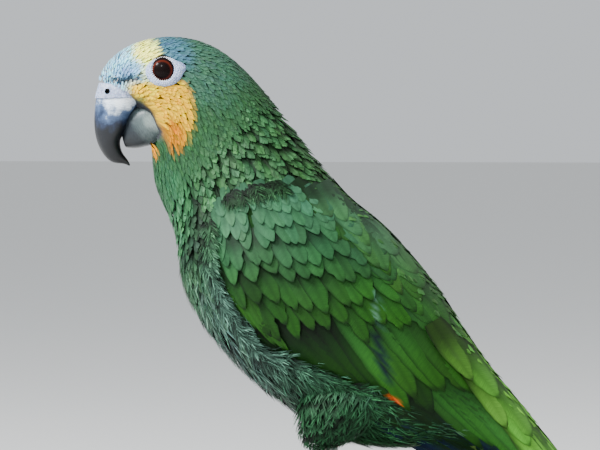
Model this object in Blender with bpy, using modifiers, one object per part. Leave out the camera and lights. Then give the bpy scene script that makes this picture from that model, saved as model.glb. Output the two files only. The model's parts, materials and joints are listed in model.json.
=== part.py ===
"""A life-size still model of an orange-winged amazon parrot on a short cut branch, held by a display stand.

Metres, +Z up. The bird faces -Y and its left side is at +X. The origin is the middle of the stand's underside.
The body is one smooth loft, parted into head, neck and trunk by thin cuts; wings, thighs and tail are bedded in it.
Side-plane points are (y, z) in millimetres, with y growing towards the tail.
"""

import math

import bmesh
import bpy
import numpy as np
from mathutils import Matrix, Vector

MM = 0.001
GAP = 0.3  # between solids that touch, mm
SEAT = 0.35  # how far a cutter stands out of the piece it makes room for, mm

# Driving sizes of the display stand, mm.
BASE_RADIUS = 78.0
BASE_HEIGHT = 12.0
BASE_BEVEL = 2.5
ROD_RADIUS = 4.0
COLLAR_RADIUS = 7.5
COLLAR_HEIGHT = 7.0
PERCH_RADIUS = 11.5
PERCH_HALF_LENGTH = 66.0
PERCH_TOP = 76.0

# Driving sizes of the bird, mm and degrees.
HEAD_YAW = 8.0  # the head looks a little to its left
NECK_AXIS_Y = -40.0
EYE_Y, EYE_Z, EYE_X = -64.6, 236.2, 14.2
EYE_RADIUS = 6.2
FOOT_X = 14.0
TARSUS_RADIUS = 3.0
TOE_RADIUS = 2.8
CLAW_LENGTH = 11.0
BODY_SIDES = 24

# The body's sections from face to wing tip: (front or belly point), (crown or back point), half-width.
SECTIONS = {
    "face": ((-65.2, 206.6), (-89.8, 233.0), 8.0),
    "brow": ((-68.4, 202.4), (-81.4, 244.6), 16.6),
    "crown": ((-69.4, 199.4), (-64.0, 249.8), 20.5),
    "occiput": ((-69.0, 195.4), (-46.4, 246.6), 22.5),
    "nape": ((-68.0, 189.6), (-32.4, 236.4), 23.5),
    "neck": ((-64.6, 181.4), (-19.8, 221.8), 25.0),
    "shoulder": ((-60.0, 169.4), (-6.0, 204.0), 29.0),
    "breast": ((-57.8, 155.0), (9.2, 186.0), 33.0),
    "chest": ((-49.6, 136.2), (22.2, 175.2), 34.5),
    "belly": ((-32.0, 115.2), (39.2, 156.8), 33.0),
    "flank": ((-9.0, 97.8), (52.0, 139.6), 28.5),
    "vent": ((19.0, 86.0), (62.8, 122.8), 22.0),
    "tail_root": ((52.0, 86.6), (74.0, 108.6), 16.5),
    "tail_mid": ((79.0, 74.0), (93.0, 85.0), 17.0),
    "wing_tip": ((113.6, 39.4), (122.4, 45.4), 15.0),
}
NAMES = list(SECTIONS)
SQUARENESS = 0.86  # under 1 makes the sections a little fuller than an ellipse

# The folded wing's outline seen from the side: (leading edge point), (point on the back), from wrist to tip.
WING_EDGES = (
    ((-42.0, 172.0), (-37.5, 184.0)),
    ((-38.5, 163.5), (-25.0, 190.0)),
    ((-33.5, 146.0), (-8.0, 189.0)),
    ((-23.0, 131.0), (9.0, 178.5)),
    ((-4.0, 122.5), (25.0, 164.0)),
    ((20.0, 110.0), (42.0, 144.5)),
    ((44.0, 98.5), (57.5, 123.5)),
    ((70.0, 82.5), (76.5, 99.5)),
    ((96.0, 64.0), (98.0, 73.0)),
    ((116.5, 50.2), (117.6, 52.0)),
)
WING_THICKNESS = 4.2  # at the shoulder
WING_TIP_THICKNESS = 1.6
WING_SEAT = 0.9  # clear of the trunk's facets

# The upper mandible from cere to tip: (ridge point), (cutting edge point), half-width.
UPPER_BEAK = (
    ((-88.6, 233.4), (-70.0, 226.5), 8.6),
    ((-90.0, 226.6), (-72.4, 222.6), 8.7),
    ((-90.6, 218.6), (-75.8, 218.6), 8.2),
    ((-90.0, 211.2), (-77.6, 212.6), 6.9),
    ((-88.0, 206.6), (-79.4, 208.8), 5.6),
    ((-85.2, 203.2), (-79.8, 205.6), 4.1),
    ((-82.0, 200.6), (-79.2, 202.8), 2.6),
    ((-79.2, 198.9), (-78.0, 199.9), 1.3),
)
BEAK_TIP = (-76.6, 197.8)
# The lower mandible from jaw to front edge: (underside point), (rim point), half-width.
LOWER_BEAK = (
    ((-60.5, 209.5), (-66.0, 222.8), 8.0),
    ((-66.4, 207.4), (-71.4, 221.6), 7.9),
    ((-71.2, 205.6), (-75.0, 217.4), 7.2),
    ((-75.4, 205.0), (-77.2, 212.6), 5.9),
    ((-78.6, 205.6), (-79.0, 208.8), 3.8),
)
NOSTRIL = (-85.0, 227.2)
NOSTRIL_RADIUS = 1.15
CERE_CUT = ((-91.0, 222.7), (-70.0, 225.4))  # the line between cere and horn

# The tail's sections: share of its length, height above and below its middle line, half-width.
TAIL_START, TAIL_END = (59.6, 103.6), (137.6, 21.8)
TAIL_SHAPE = (
    (0.00, 6.0, 8.0, 9.0),
    (0.08, 10.5, 14.0, 14.0),
    (0.24, 6.0, 11.0, 14.2),
    (0.46, 2.6, 5.6, 15.0),
    (0.70, 1.3, 2.0, 16.0),
    (1.00, 0.8, 0.8, 17.0),
)
TAIL_FEATHERS = 12
TAIL_ROUNDING = 7.0  # how much shorter the outer feathers are
TAIL_NOTCH = 1.6
TAIL_ARCH = 3.2  # the vane's outer edges hang this much

# The feathered thigh from hip to ankle: centre (x, y, z), half-width, half-depth.
THIGH = (
    ((15.0, 18.0, 120.0), 8.0, 14.0),
    ((17.5, 14.0, 110.0), 11.0, 19.0),
    ((18.0, 8.5, 99.0), 11.0, 17.5),
    ((16.6, 3.4, 90.5), 8.2, 11.5),
    ((14.6, 0.4, 85.4), 4.6, 5.4),
)

# Toes: name, splay across the perch in mm, angle along the perch in degrees, share of the full claw.
TOES = (
    ("front_inner", -5.4, 68.0, 0.85),
    ("front_outer", 5.0, 96.0, 1.0),
    ("back_inner", -5.0, -52.0, 0.8),
    ("back_outer", 5.6, -82.0, 0.95),
)

COLOURS = {
    "green_feather": ((0.045, 0.150, 0.050, 1.0), 0.55, 0.0),
    "breast_feather": ((0.075, 0.160, 0.105, 1.0), 0.65, 0.0),
    "wing_feather": ((0.030, 0.120, 0.020, 1.0), 0.50, 0.0),
    "tail_feather": ((0.050, 0.200, 0.030, 1.0), 0.50, 0.0),
    "grey_horn": ((0.100, 0.130, 0.170, 1.0), 0.30, 0.0),
    "pale_horn": ((0.240, 0.290, 0.300, 1.0), 0.35, 0.0),
    "grey_cere": ((0.200, 0.220, 0.330, 1.0), 0.50, 0.0),
    "brown_eye": ((0.030, 0.010, 0.006, 1.0), 0.05, 0.0),
    "grey_scute": ((0.160, 0.170, 0.170, 1.0), 0.60, 0.0),
    "dark_claw": ((0.020, 0.020, 0.022, 1.0), 0.30, 0.0),
    "bark": ((0.170, 0.110, 0.070, 1.0), 0.85, 0.0),
    "stand_wood": ((0.060, 0.030, 0.015, 1.0), 0.35, 0.0),
    "stand_steel": ((0.500, 0.500, 0.480, 1.0), 0.30, 1.0),
}


class Spline:
    """A natural cubic curve through rows of numbers at whole parameters 0, 1, 2 and so on."""

    def __init__(self, rows):
        self.rows = np.asarray(rows, float)
        count = len(self.rows)
        matrix = np.eye(count)
        right = np.zeros_like(self.rows)
        for i in range(1, count - 1):
            matrix[i, i - 1 : i + 2] = 1.0, 4.0, 1.0
            right[i] = 6.0 * (self.rows[i - 1] - 2.0 * self.rows[i] + self.rows[i + 1])
        self.bend = np.linalg.solve(matrix, right)

    def __call__(self, t):
        i = min(max(int(math.floor(t)), 0), len(self.rows) - 2)
        b = t - i
        a = 1.0 - b
        cubic = (a**3 - a) * self.bend[i] + (b**3 - b) * self.bend[i + 1]
        return a * self.rows[i] + b * self.rows[i + 1] + cubic / 6.0


def smoothstep(x):
    x = min(max(x, 0.0), 1.0)
    return x * x * (3.0 - 2.0 * x)


BODY = Spline([(*front, *back, width) for front, back, width in SECTIONS.values()])


def body_point(s, angle, grow=0.0):
    """A point of the body: s counts sections, and angle goes from -90 at the belly to 90 at the back, by the left side."""
    front_y, front_z, back_y, back_z, width = BODY(s)
    half_y, half_z = (back_y - front_y) / 2.0, (back_z - front_z) / 2.0
    half = math.hypot(half_y, half_z)
    rise, out = math.sin(angle), math.cos(angle)
    share = rise * (half + grow) / half
    x = math.copysign(abs(out) ** SQUARENESS, out) * (width + grow)
    return Vector((x, (front_y + back_y) / 2.0 + half_y * share, (front_z + back_z) / 2.0 + half_z * share))


def locate(y, z):
    """The (s, angle) of the body's left side that lies at this side-plane point."""
    best = None
    for s in np.linspace(4.0, len(NAMES) - 1.0, 441):
        front_y, front_z, back_y, back_z, _ = BODY(s)
        ay, az = back_y - front_y, back_z - front_z
        share = ((y - front_y) * ay + (z - front_z) * az) / (ay * ay + az * az)
        miss = math.hypot(front_y + share * ay - y, front_z + share * az - z)
        if best is None or miss < best[0]:
            best = (miss, s, math.asin(min(max(2.0 * share - 1.0, -1.0), 1.0)))
    return best[1], best[2]


def turned(point, share=1.0):
    """A point after the head's turn about the upright axis of the neck; share is how much of the turn it takes."""
    angle = math.radians(HEAD_YAW) * share
    y = point[1] - NECK_AXIS_Y
    return Vector((
        point[0] * math.cos(angle) - y * math.sin(angle),
        NECK_AXIS_Y + point[0] * math.sin(angle) + y * math.cos(angle),
        point[2],
    ))


def turn_share(s):
    """How much of the head's turn a body section takes: all of it from the crown forward, none from the shoulder back."""
    return smoothstep((NAMES.index("shoulder") - s) / (NAMES.index("shoulder") - NAMES.index("crown")))


def material(name):
    found = bpy.data.materials.get(name)
    if found:
        return found
    colour, roughness, metallic = COLOURS[name]
    made = bpy.data.materials.new(name)
    made.use_nodes = True
    shader = made.node_tree.nodes["Principled BSDF"]
    shader.inputs["Base Color"].default_value = colour
    shader.inputs["Roughness"].default_value = roughness
    shader.inputs["Metallic"].default_value = metallic
    made.diffuse_color = colour
    return made


def collection(name):
    made = bpy.data.collections.new(name)
    bpy.context.scene.collection.children.link(made)
    return made


def add_object(name, mesh, finish, where):
    obj = bpy.data.objects.new(name, mesh)
    mesh.materials.append(material(finish))
    where.objects.link(obj)
    mesh.shade_smooth()
    mesh.set_sharp_from_angle(angle=math.radians(40.0))
    return obj


def mesh_from(bm, name):
    """Finishes a bmesh in millimetres as a mesh in metres with its faces pointing out."""
    bmesh.ops.recalc_face_normals(bm, faces=bm.faces)
    bmesh.ops.scale(bm, vec=(MM, MM, MM), verts=bm.verts)
    mesh = bpy.data.meshes.new(name)
    bm.to_mesh(mesh)
    bm.free()
    return mesh


def loft(sections, round_end=None):
    """A closed bmesh through loops of equal length, its ends filled from their middles; round_end is a point past the last."""
    bm = bmesh.new()
    rings = [[bm.verts.new(point) for point in loop] for loop in sections]
    sides = len(rings[0])
    for first, second in zip(rings, rings[1:]):
        for i in range(sides):
            j = (i + 1) % sides
            bm.faces.new((first[i], first[j], second[j], second[i]))
    tips = (
        (rings[0], sum((v.co for v in rings[0]), Vector()) / sides),
        (rings[-1], Vector(round_end) if round_end else sum((v.co for v in rings[-1]), Vector()) / sides),
    )
    for ring, middle in tips:
        centre = bm.verts.new(middle)
        for i in range(sides):
            bm.faces.new((ring[i], ring[(i + 1) % sides], centre))
    return bm


def mirrored(mesh, name):
    """A copy of a left-hand mesh for the bird's right side."""
    bm = bmesh.new()
    bm.from_mesh(mesh)
    for vert in bm.verts:
        vert.co.x = -vert.co.x
    bmesh.ops.reverse_faces(bm, faces=bm.faces)
    made = bpy.data.meshes.new(name)
    bm.to_mesh(made)
    bm.free()
    return made


def grown(mesh):
    """A copy of a mesh whose faces stand out by the seat's depth."""
    bm = bmesh.new()
    bm.from_mesh(mesh)
    bm.normal_update()
    moves = [vert.normal * SEAT * MM * min(vert.calc_shell_factor(), 2.0) for vert in bm.verts]
    for vert, move in zip(bm.verts, moves):
        vert.co += move
    made = bpy.data.meshes.new(mesh.name + "_room")
    bm.to_mesh(made)
    bm.free()
    return made


def cutter_of(obj, where, mesh=None):
    """A hidden object, a little larger than this one, which makes room for it in its neighbour."""
    made = bpy.data.objects.new(obj.name + "_room", mesh or grown(obj.data))
    made.hide_render = True
    made.display_type = "WIRE"
    where.objects.link(made)
    return made


def cut(obj, cutter):
    modifier = obj.modifiers.new("cut_" + cutter.name, "BOOLEAN")
    modifier.operation = "DIFFERENCE"
    modifier.object = cutter


def bisected(bm, point, normal):
    """Keeps what lies behind a plane, and closes the cut."""
    geometry = bm.verts[:] + bm.edges[:] + bm.faces[:]
    bmesh.ops.bisect_plane(bm, geom=geometry, plane_co=point, plane_no=normal, clear_outer=True, dist=1e-6)
    rim = [edge for edge in bm.edges if edge.is_boundary]
    bmesh.ops.holes_fill(bm, edges=rim, sides=0)


def cutting_plane(front, back):
    """(point, normal) of the plane across the body through two side-plane points, facing the tail."""
    along = Vector((0.0, back[0] - front[0], back[1] - front[1])).normalized()
    normal = Vector((0.0, along.z, -along.y))
    if normal.z > 0.0:
        normal = -normal
    return Vector((0.0, *front)), normal


def body_loft(start, end, steps):
    """The body between two section numbers, with the head's turn in it."""
    loops = []
    for s in np.linspace(start, end, steps):
        angles = [math.radians(-90.0 + 360.0 * i / BODY_SIDES) for i in range(BODY_SIDES)]
        loops.append([turned(body_point(s, angle), turn_share(s)) for angle in angles])
    return loft(loops)


HEAD_NECK_CUT = ((-66.0, 193.5), (-38.5, 243.5))
NECK_TRUNK_CUT = ((-60.5, 174.5), (-9.5, 210.0))


def build_body(parts):
    """Head, neck and trunk, cut from one loft so that their surfaces run on."""
    half_gap = GAP / 2.0 + 0.05
    tail_root = NAMES.index("tail_root")
    upper, lower = cutting_plane(*HEAD_NECK_CUT), cutting_plane(*NECK_TRUNK_CUT)
    bodies = {}
    for name, before, after, steps in (
        ("head", None, upper, 17),
        ("neck", upper, lower, 17),
        ("trunk", lower, None, 27),
    ):
        end = tail_root if after is None else NAMES.index("breast")
        start = NAMES.index("nape") - 1 if after is None else 0
        bm = body_loft(start, end, steps)
        if after:
            point, normal = after
            bisected(bm, point - normal * half_gap, normal)
        if before:
            point, normal = before
            bisected(bm, point + normal * half_gap, -normal)
        bodies[name] = add_object(name, mesh_from(bm, name), "green_feather", parts)
    return bodies


def wing_mesh(name, grow=0.0):
    """The left folded wing, a curved shell laid on the body between its leading edge and the back, or the room for it."""
    places = [(*locate(*low), *locate(*high)) for low, high in WING_EDGES]
    path = Spline(places)
    across = 8
    last = len(WING_EDGES) - 1.0
    loops = []
    steps = np.linspace(0.0, last, 25)
    steps[0] -= 0.16 * grow
    steps[-1] += 0.16 * grow
    for t in steps:
        low_s, low_angle, high_s, high_angle = path(t)
        low_angle -= grow / 11.0
        high_angle += grow / 11.0
        share = t / last
        thick = WING_THICKNESS + (WING_TIP_THICKNESS - WING_THICKNESS) * smoothstep(share)
        thick *= 0.45 + 0.55 * smoothstep(t / 1.5)
        outer, inner = [], []
        for i in range(across):
            u = i / (across - 1.0)
            s, angle = low_s + (high_s - low_s) * u, low_angle + (high_angle - low_angle) * u
            crest = max(math.sin(math.pi * u), 0.0) ** 0.45
            outer.append(body_point(s, angle, WING_SEAT + thick * (0.25 + 0.75 * crest) + grow))
            inner.append(body_point(s, angle, WING_SEAT - grow))
        loop = outer + inner[::-1]
        for i, point in enumerate(loop):
            point.x = max(point.x, 0.5 - 0.5 * grow + 0.02 * i)
        loops.append(loop)
    return mesh_from(loft(loops), name)


def tail_mesh():
    """The closed tail: a thin arched vane with stepped feather tips, thick with coverts at its root."""
    shape = Spline([row[1:] for row in TAIL_SHAPE])
    stations = [row[0] for row in TAIL_SHAPE]
    start, end = Vector((0.0, *TAIL_START)), Vector((0.0, *TAIL_END))
    axis = (end - start).normalized()
    up = Vector((0.0, -axis.z, axis.y))
    length = (end - start).length
    sides = 22
    loops = []
    for share in np.linspace(0.0, 1.0, 12):
        above, below, width = shape(np.interp(share, stations, range(len(stations))))
        loop = []
        for i in range(sides):
            angle = 2.0 * math.pi * i / sides
            across = math.cos(angle)
            height = math.sin(angle)
            rise = height * (above if height > 0.0 else below)
            flat = share**2
            rise -= TAIL_ARCH * flat * across**2
            shorter = TAIL_ROUNDING * across**2 + TAIL_NOTCH * abs(math.sin(across * TAIL_FEATHERS * math.pi / 4.0))
            along = length * share - shorter * share**3
            side = math.copysign(abs(across) ** (1.0 - 0.15 * flat), across) * width
            loop.append(start + axis * along + up * rise + Vector((side, 0.0, 0.0)))
        loops.append(loop)
    return mesh_from(loft(loops), "tail")


def thigh_mesh(name):
    """The left feathered thigh, which hangs out of the flank."""
    shape = Spline([(*centre, wide, deep) for centre, wide, deep in THIGH])
    sides = 14
    loops = []
    for t in np.linspace(0.0, len(THIGH) - 1.0, 9):
        x, y, z, wide, deep = shape(t)
        ring = [2.0 * math.pi * i / sides for i in range(sides)]
        loops.append([Vector((x + wide * math.cos(a), y + deep * math.sin(a), z)) for a in ring])
    return mesh_from(loft(loops), name)


def horn_loft(stations, tip, steps, hook=0.0):
    """A mandible: sections between a ridge and an edge, round over the ridge and narrow at the edge."""
    shape = Spline([(*ridge, *edge, width) for ridge, edge, width in stations])
    sides = 16
    loops = []
    for t in np.linspace(0.0, len(stations) - 1.0, steps):
        ridge_y, ridge_z, edge_y, edge_z, width = shape(t)
        loop = []
        for i in range(sides):
            angle = 2.0 * math.pi * i / sides
            rise, out = math.cos(angle), math.sin(angle)
            share = (1.0 - rise) / 2.0
            wide = math.copysign(abs(out) ** 0.8, out) * width * (1.0 + hook * (share - 0.5))
            point = Vector((wide, ridge_y + (edge_y - ridge_y) * share, ridge_z + (edge_z - ridge_z) * share))
            loop.append(turned(point))
        loops.append(loop)
    return loft(loops, turned(Vector((0.0, *tip))) if tip else None)


def bird_point(x, y, z):
    """A point of the head, after its turn, in metres."""
    return turned(Vector((x, y, z))) * MM


def build_beak(parts, cutters):
    """Cere with nostrils, upper and lower mandible. The cere and the horn are one loft, parted by a thin cut."""
    point, normal = cutting_plane(*CERE_CUT)
    point, normal = turned(point), turned(point + normal) - turned(point)
    pieces = {}
    for name, side, finish in (("cere", 1.0, "grey_cere"), ("beak_upper", -1.0, "grey_horn")):
        bm = horn_loft(UPPER_BEAK, BEAK_TIP, 15, hook=0.2)
        bisected(bm, point - normal * side * (GAP / 2.0 + 0.02), normal * side)
        pieces[name] = add_object(name, mesh_from(bm, name), finish, parts)
    bm = horn_loft(LOWER_BEAK, None, 8)
    pieces["beak_lower"] = add_object("beak_lower", mesh_from(bm, "beak_lower"), "pale_horn", parts)
    cut(pieces["beak_lower"], cutter_of(pieces["beak_upper"], cutters))
    cut(pieces["beak_lower"], cutter_of(pieces["cere"], cutters))
    for side in (-1.0, 1.0):
        bpy.ops.mesh.primitive_uv_sphere_add(
            segments=10, ring_count=6, radius=NOSTRIL_RADIUS * MM, location=bird_point(side * 7.4, *NOSTRIL)
        )
        hole = bpy.context.object
        hole.name = "nostril_room"
        hole.hide_render = True
        hole.display_type = "WIRE"
        move_to(hole, cutters)
        cut(pieces["cere"], hole)
    return pieces


def move_to(obj, where):
    for old in list(obj.users_collection):
        old.objects.unlink(obj)
    where.objects.link(obj)


def build_eyes(parts):
    eyes = []
    for side, name in ((1.0, "eye_L"), (-1.0, "eye_R")):
        bpy.ops.mesh.primitive_uv_sphere_add(segments=14, ring_count=8, radius=EYE_RADIUS * MM)
        eye = bpy.context.object
        eye.name = eye.data.name = name
        eye.data.transform(Matrix.Translation(bird_point(side * EYE_X, EYE_Y, EYE_Z)))
        eye.data.materials.append(material("brown_eye"))
        eye.data.shade_smooth()
        move_to(eye, parts)
        eyes.append(eye)
    return eyes


def toe_path(splay, degrees, share):
    """A point of a toe's middle line, and the direction it goes in, at a share of its length."""
    radius = PERCH_RADIUS + TOE_RADIUS + GAP + 0.1
    centre_z = PERCH_TOP - PERCH_RADIUS
    angle = math.radians(90.0 + degrees * share)
    across = FOOT_X + splay * smoothstep(share * 1.6)
    lift = 1.2 * (1.0 - smoothstep(share * 2.5))
    point = Vector((across, math.cos(angle) * radius, centre_z + math.sin(angle) * (radius + lift)))
    heading = math.copysign(1.0, degrees) * Vector((0.0, -math.sin(angle), math.cos(angle)))
    return point, heading


def tube_sections(points, radii, sides):
    """Rings square to a line of points, kept from twisting by the perch's own axis."""
    loops = []
    for i, (point, radius) in enumerate(zip(points, radii)):
        before, after = points[max(i - 1, 0)], points[min(i + 1, len(points) - 1)]
        along = (after - before).normalized()
        side = Vector((1.0, 0.0, 0.0))
        side = (side - along * side.dot(along)).normalized()
        other = along.cross(side)
        ring = [2.0 * math.pi * k / sides for k in range(sides)]
        loops.append([point + side * math.cos(a) * radius + other * math.sin(a) * radius for a in ring])
    return loops


def toe_mesh(splay, degrees):
    """A toe with a pad under each joint."""
    shares = np.linspace(0.0, 1.0, 9)
    points = [toe_path(splay, degrees, share)[0] for share in shares]
    pads = abs(degrees) / 26.0
    radii = [TOE_RADIUS * (1.0 - 0.1 * (0.5 - 0.5 * math.cos(2.0 * math.pi * pads * share))) for share in shares]
    radii[-1] *= 0.82
    return mesh_from(loft(tube_sections(points, radii, 8)), "toe")


def claw_mesh(splay, degrees, scale):
    """A curved claw that starts just past its toe and goes on round the perch."""
    end, heading = toe_path(splay, degrees, 1.0)
    inward = Vector((0.0, 0.0, PERCH_TOP - PERCH_RADIUS)) - Vector((0.0, end.y, end.z))
    inward.normalize()
    length = CLAW_LENGTH * scale
    reach = length / math.radians(75.0)
    points, radii = [], []
    for share in np.linspace(0.0, 1.0, 6):
        bend = math.radians(75.0) * share
        ahead = heading * (reach * math.sin(bend) + GAP + 0.05)
        down = inward * (reach * (1.0 - math.cos(bend)) * 0.55 - 0.5)
        points.append(end + ahead + down)
        radii.append(1.75 * scale * (1.0 - share) ** 0.8 + 0.22)
    return mesh_from(loft(tube_sections(points, radii, 7)), "claw")


def joined(name, pieces, finish, parts, helpers):
    """One object from overlapping meshes."""
    body = add_object(name, pieces[0], finish, parts)
    for mesh in pieces[1:]:
        other = bpy.data.objects.new(name + "_more", mesh)
        other.hide_render = True
        other.display_type = "WIRE"
        helpers.objects.link(other)
        modifier = body.modifiers.new("join", "BOOLEAN")
        modifier.operation = "UNION"
        modifier.object = other
    return body


def tarsus_mesh():
    """The short bare shank between thigh and toes."""
    top = THIGH[-1][0]
    foot = PERCH_TOP + TOE_RADIUS + GAP
    points = [Vector((top[0], top[1], top[2] - GAP - 0.4)), Vector((FOOT_X, 0.0, foot + 0.6)), Vector((FOOT_X, 0.0, foot - 1.4))]
    radii = (TARSUS_RADIUS, TARSUS_RADIUS * 1.1, TARSUS_RADIUS * 0.9)
    loops = []
    for point, radius in zip(points, radii):
        ring = [2.0 * math.pi * i / 12 for i in range(12)]
        loops.append([point + Vector((radius * math.cos(a), radius * 1.1 * math.sin(a), 0.0)) for a in ring])
    return mesh_from(loft(loops), "tarsus")


def build_feet(parts, helpers):
    """Two toes forward and two back on each foot, round the perch, each with its claw."""
    shanks = tarsus_mesh()
    for side in ("L", "R"):
        meshes = [shanks] + [toe_mesh(splay, degrees) for _, splay, degrees, _ in TOES]
        if side == "R":
            meshes = [mirrored(mesh, mesh.name) for mesh in meshes]
        joined("foot_" + side, [mesh.copy() for mesh in meshes], "grey_scute", parts, helpers)
        for name, splay, degrees, scale in TOES:
            claw = claw_mesh(splay, degrees, scale)
            label = f"claw_{name}_{side}"
            add_object(label, claw if side == "L" else mirrored(claw, label), "dark_claw", parts)


def build_stand(parts, cutters):
    """Round base, steel rod with a collar, and the cut branch that the feet hold."""
    bpy.ops.mesh.primitive_cylinder_add(
        vertices=44, radius=BASE_RADIUS * MM, depth=BASE_HEIGHT * MM, location=(0.0, 0.0, BASE_HEIGHT / 2.0 * MM)
    )
    base = bpy.context.object
    base.name = base.data.name = "stand_base"
    base.data.materials.append(material("stand_wood"))
    bevel = base.modifiers.new("edge", "BEVEL")
    bevel.width = BASE_BEVEL * MM
    bevel.segments = 1
    bevel.limit_method = "ANGLE"
    move_to(base, parts)

    centre_z = PERCH_TOP - PERCH_RADIUS
    sides = 20
    loops = []
    for share in np.linspace(-1.0, 1.0, 9):
        radius = PERCH_RADIUS - 0.7 * smoothstep((abs(share) - 0.5) / 0.5)
        ring = [2.0 * math.pi * i / sides for i in range(sides)]
        loops.append([
            Vector((share * PERCH_HALF_LENGTH, radius * math.cos(a), centre_z + radius * math.sin(a))) for a in ring
        ])
    perch = add_object("stand_perch", mesh_from(loft(loops), "stand_perch"), "bark", parts)

    rod_bottom = BASE_HEIGHT + GAP
    collar_top = centre_z - PERCH_RADIUS * 0.55
    collar_bottom = collar_top - COLLAR_HEIGHT
    heights = (rod_bottom, collar_bottom, collar_bottom + 1.0, collar_top)
    widths = (ROD_RADIUS, ROD_RADIUS, COLLAR_RADIUS, COLLAR_RADIUS)
    loops = []
    for height, width in zip(heights, widths):
        ring = [2.0 * math.pi * i / 16 for i in range(16)]
        loops.append([Vector((width * math.cos(a), width * math.sin(a), height)) for a in ring])
    rod = add_object("stand_rod", mesh_from(loft(loops), "stand_rod"), "stand_steel", parts)
    cut(rod, cutter_of(perch, cutters))


def main():
    for obj in list(bpy.data.objects):
        bpy.data.objects.remove(obj)
    parts, cutters = collection("amazon_parrot"), collection("cutters")
    body = build_body(parts)
    beak = build_beak(parts, cutters)
    for piece in (*beak.values(), *build_eyes(parts)):
        cut(body["head"], cutter_of(piece, cutters))

    tail = add_object("tail", tail_mesh(), "tail_feather", parts)
    cut(body["trunk"], cutter_of(tail, cutters))
    for side in ("L", "R"):
        meshes = [wing_mesh("wing_" + side), wing_mesh("wing_room_" + side, SEAT * 1.7), thigh_mesh("thigh_" + side)]
        if side == "R":
            meshes = [mirrored(mesh, mesh.name) for mesh in meshes]
        wing = add_object("wing_" + side, meshes[0], "wing_feather", parts)
        thigh = add_object("thigh_" + side, meshes[2], "breast_feather", parts)
        wing_room = cutter_of(wing, cutters, meshes[1])
        cut(body["trunk"], cutter_of(thigh, cutters))
        for piece in (tail, thigh):
            cut(piece, wing_room)
    build_feet(parts, cutters)
    build_stand(parts, cutters)


main()
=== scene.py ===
"""A life-size orange-winged amazon on a cut branch: skin, coats of feathers, bare parts, perch and stand.

Metres, +Z up; the bird faces -Y with its left side at +X. Sizes in this file are millimetres unless they say
otherwise. Points of the side plane are (y, z), with y growing towards the tail.
"""

import json
import logging
import math
from dataclasses import dataclass, field
from enum import Enum
from typing import Callable, Protocol

import bpy
import numpy as np
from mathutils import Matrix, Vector

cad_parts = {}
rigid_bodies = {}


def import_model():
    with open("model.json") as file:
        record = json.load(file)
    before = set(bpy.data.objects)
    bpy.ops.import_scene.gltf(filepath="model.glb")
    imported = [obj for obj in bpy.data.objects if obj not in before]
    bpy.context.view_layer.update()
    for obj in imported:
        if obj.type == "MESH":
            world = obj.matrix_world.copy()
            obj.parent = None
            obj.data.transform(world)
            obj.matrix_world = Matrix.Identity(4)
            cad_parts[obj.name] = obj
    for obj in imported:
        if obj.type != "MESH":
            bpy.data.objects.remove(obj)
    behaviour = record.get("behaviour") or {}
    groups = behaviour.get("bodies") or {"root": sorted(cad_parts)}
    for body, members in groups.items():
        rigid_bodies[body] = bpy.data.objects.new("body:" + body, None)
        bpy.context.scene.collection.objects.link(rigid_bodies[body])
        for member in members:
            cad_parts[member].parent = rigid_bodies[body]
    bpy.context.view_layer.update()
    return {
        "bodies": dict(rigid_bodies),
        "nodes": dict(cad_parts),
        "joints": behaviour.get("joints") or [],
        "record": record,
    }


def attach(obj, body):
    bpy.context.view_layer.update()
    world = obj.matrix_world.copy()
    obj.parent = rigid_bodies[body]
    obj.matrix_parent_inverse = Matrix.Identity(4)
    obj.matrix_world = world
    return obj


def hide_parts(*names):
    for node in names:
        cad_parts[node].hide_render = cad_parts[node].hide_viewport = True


MM = 0.001
LOG = logging.getLogger("parrot")
Array = np.ndarray
Pair = tuple[float, float]
Rgb = tuple[float, float, float]
# a cell and its neighbours
STEPS_ROUND = [(u, v, w) for u in (-1, 0, 1) for v in (-1, 0, 1) for w in (-1, 0, 1)]


class Side(Enum):
    """The bird's own sides, as the sign of x."""

    LEFT = 1.0
    RIGHT = -1.0

    @property
    def letter(self) -> str:
        """The letter that ends a piece's name."""
        return self.name[0]


def linear(colour: Rgb) -> Array:
    """Turns a colour of 0 to 255 as seen on a screen into linear light."""
    shown = np.asarray(colour, float) / 255.0
    return np.where(shown <= 0.04045, shown / 12.92, ((shown + 0.055) / 1.055) ** 2.4)


def smooth(x: Array | float) -> Array:
    """Eases from 0 to 1 as x goes from 0 to 1."""
    x = np.clip(x, 0.0, 1.0)
    return x * x * (3.0 - 2.0 * x)


def mix(a: Array, b: Array, share: Array | float) -> Array:
    """Blends two arrays of colours by a share for each row."""
    share = np.asarray(share, float)
    if share.ndim:
        share = share[..., None]
    return a + (b - a) * share


def between(ends: tuple, share: Array | float) -> Array | float:
    """The value a share of the way from the first of two ends to the second."""
    return ends[0] + (ends[1] - ends[0]) * share


def around(count: int) -> Array:
    """So many evenly spaced angles, once round."""
    return np.linspace(0.0, 2.0 * math.pi, count, endpoint=False)


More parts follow.
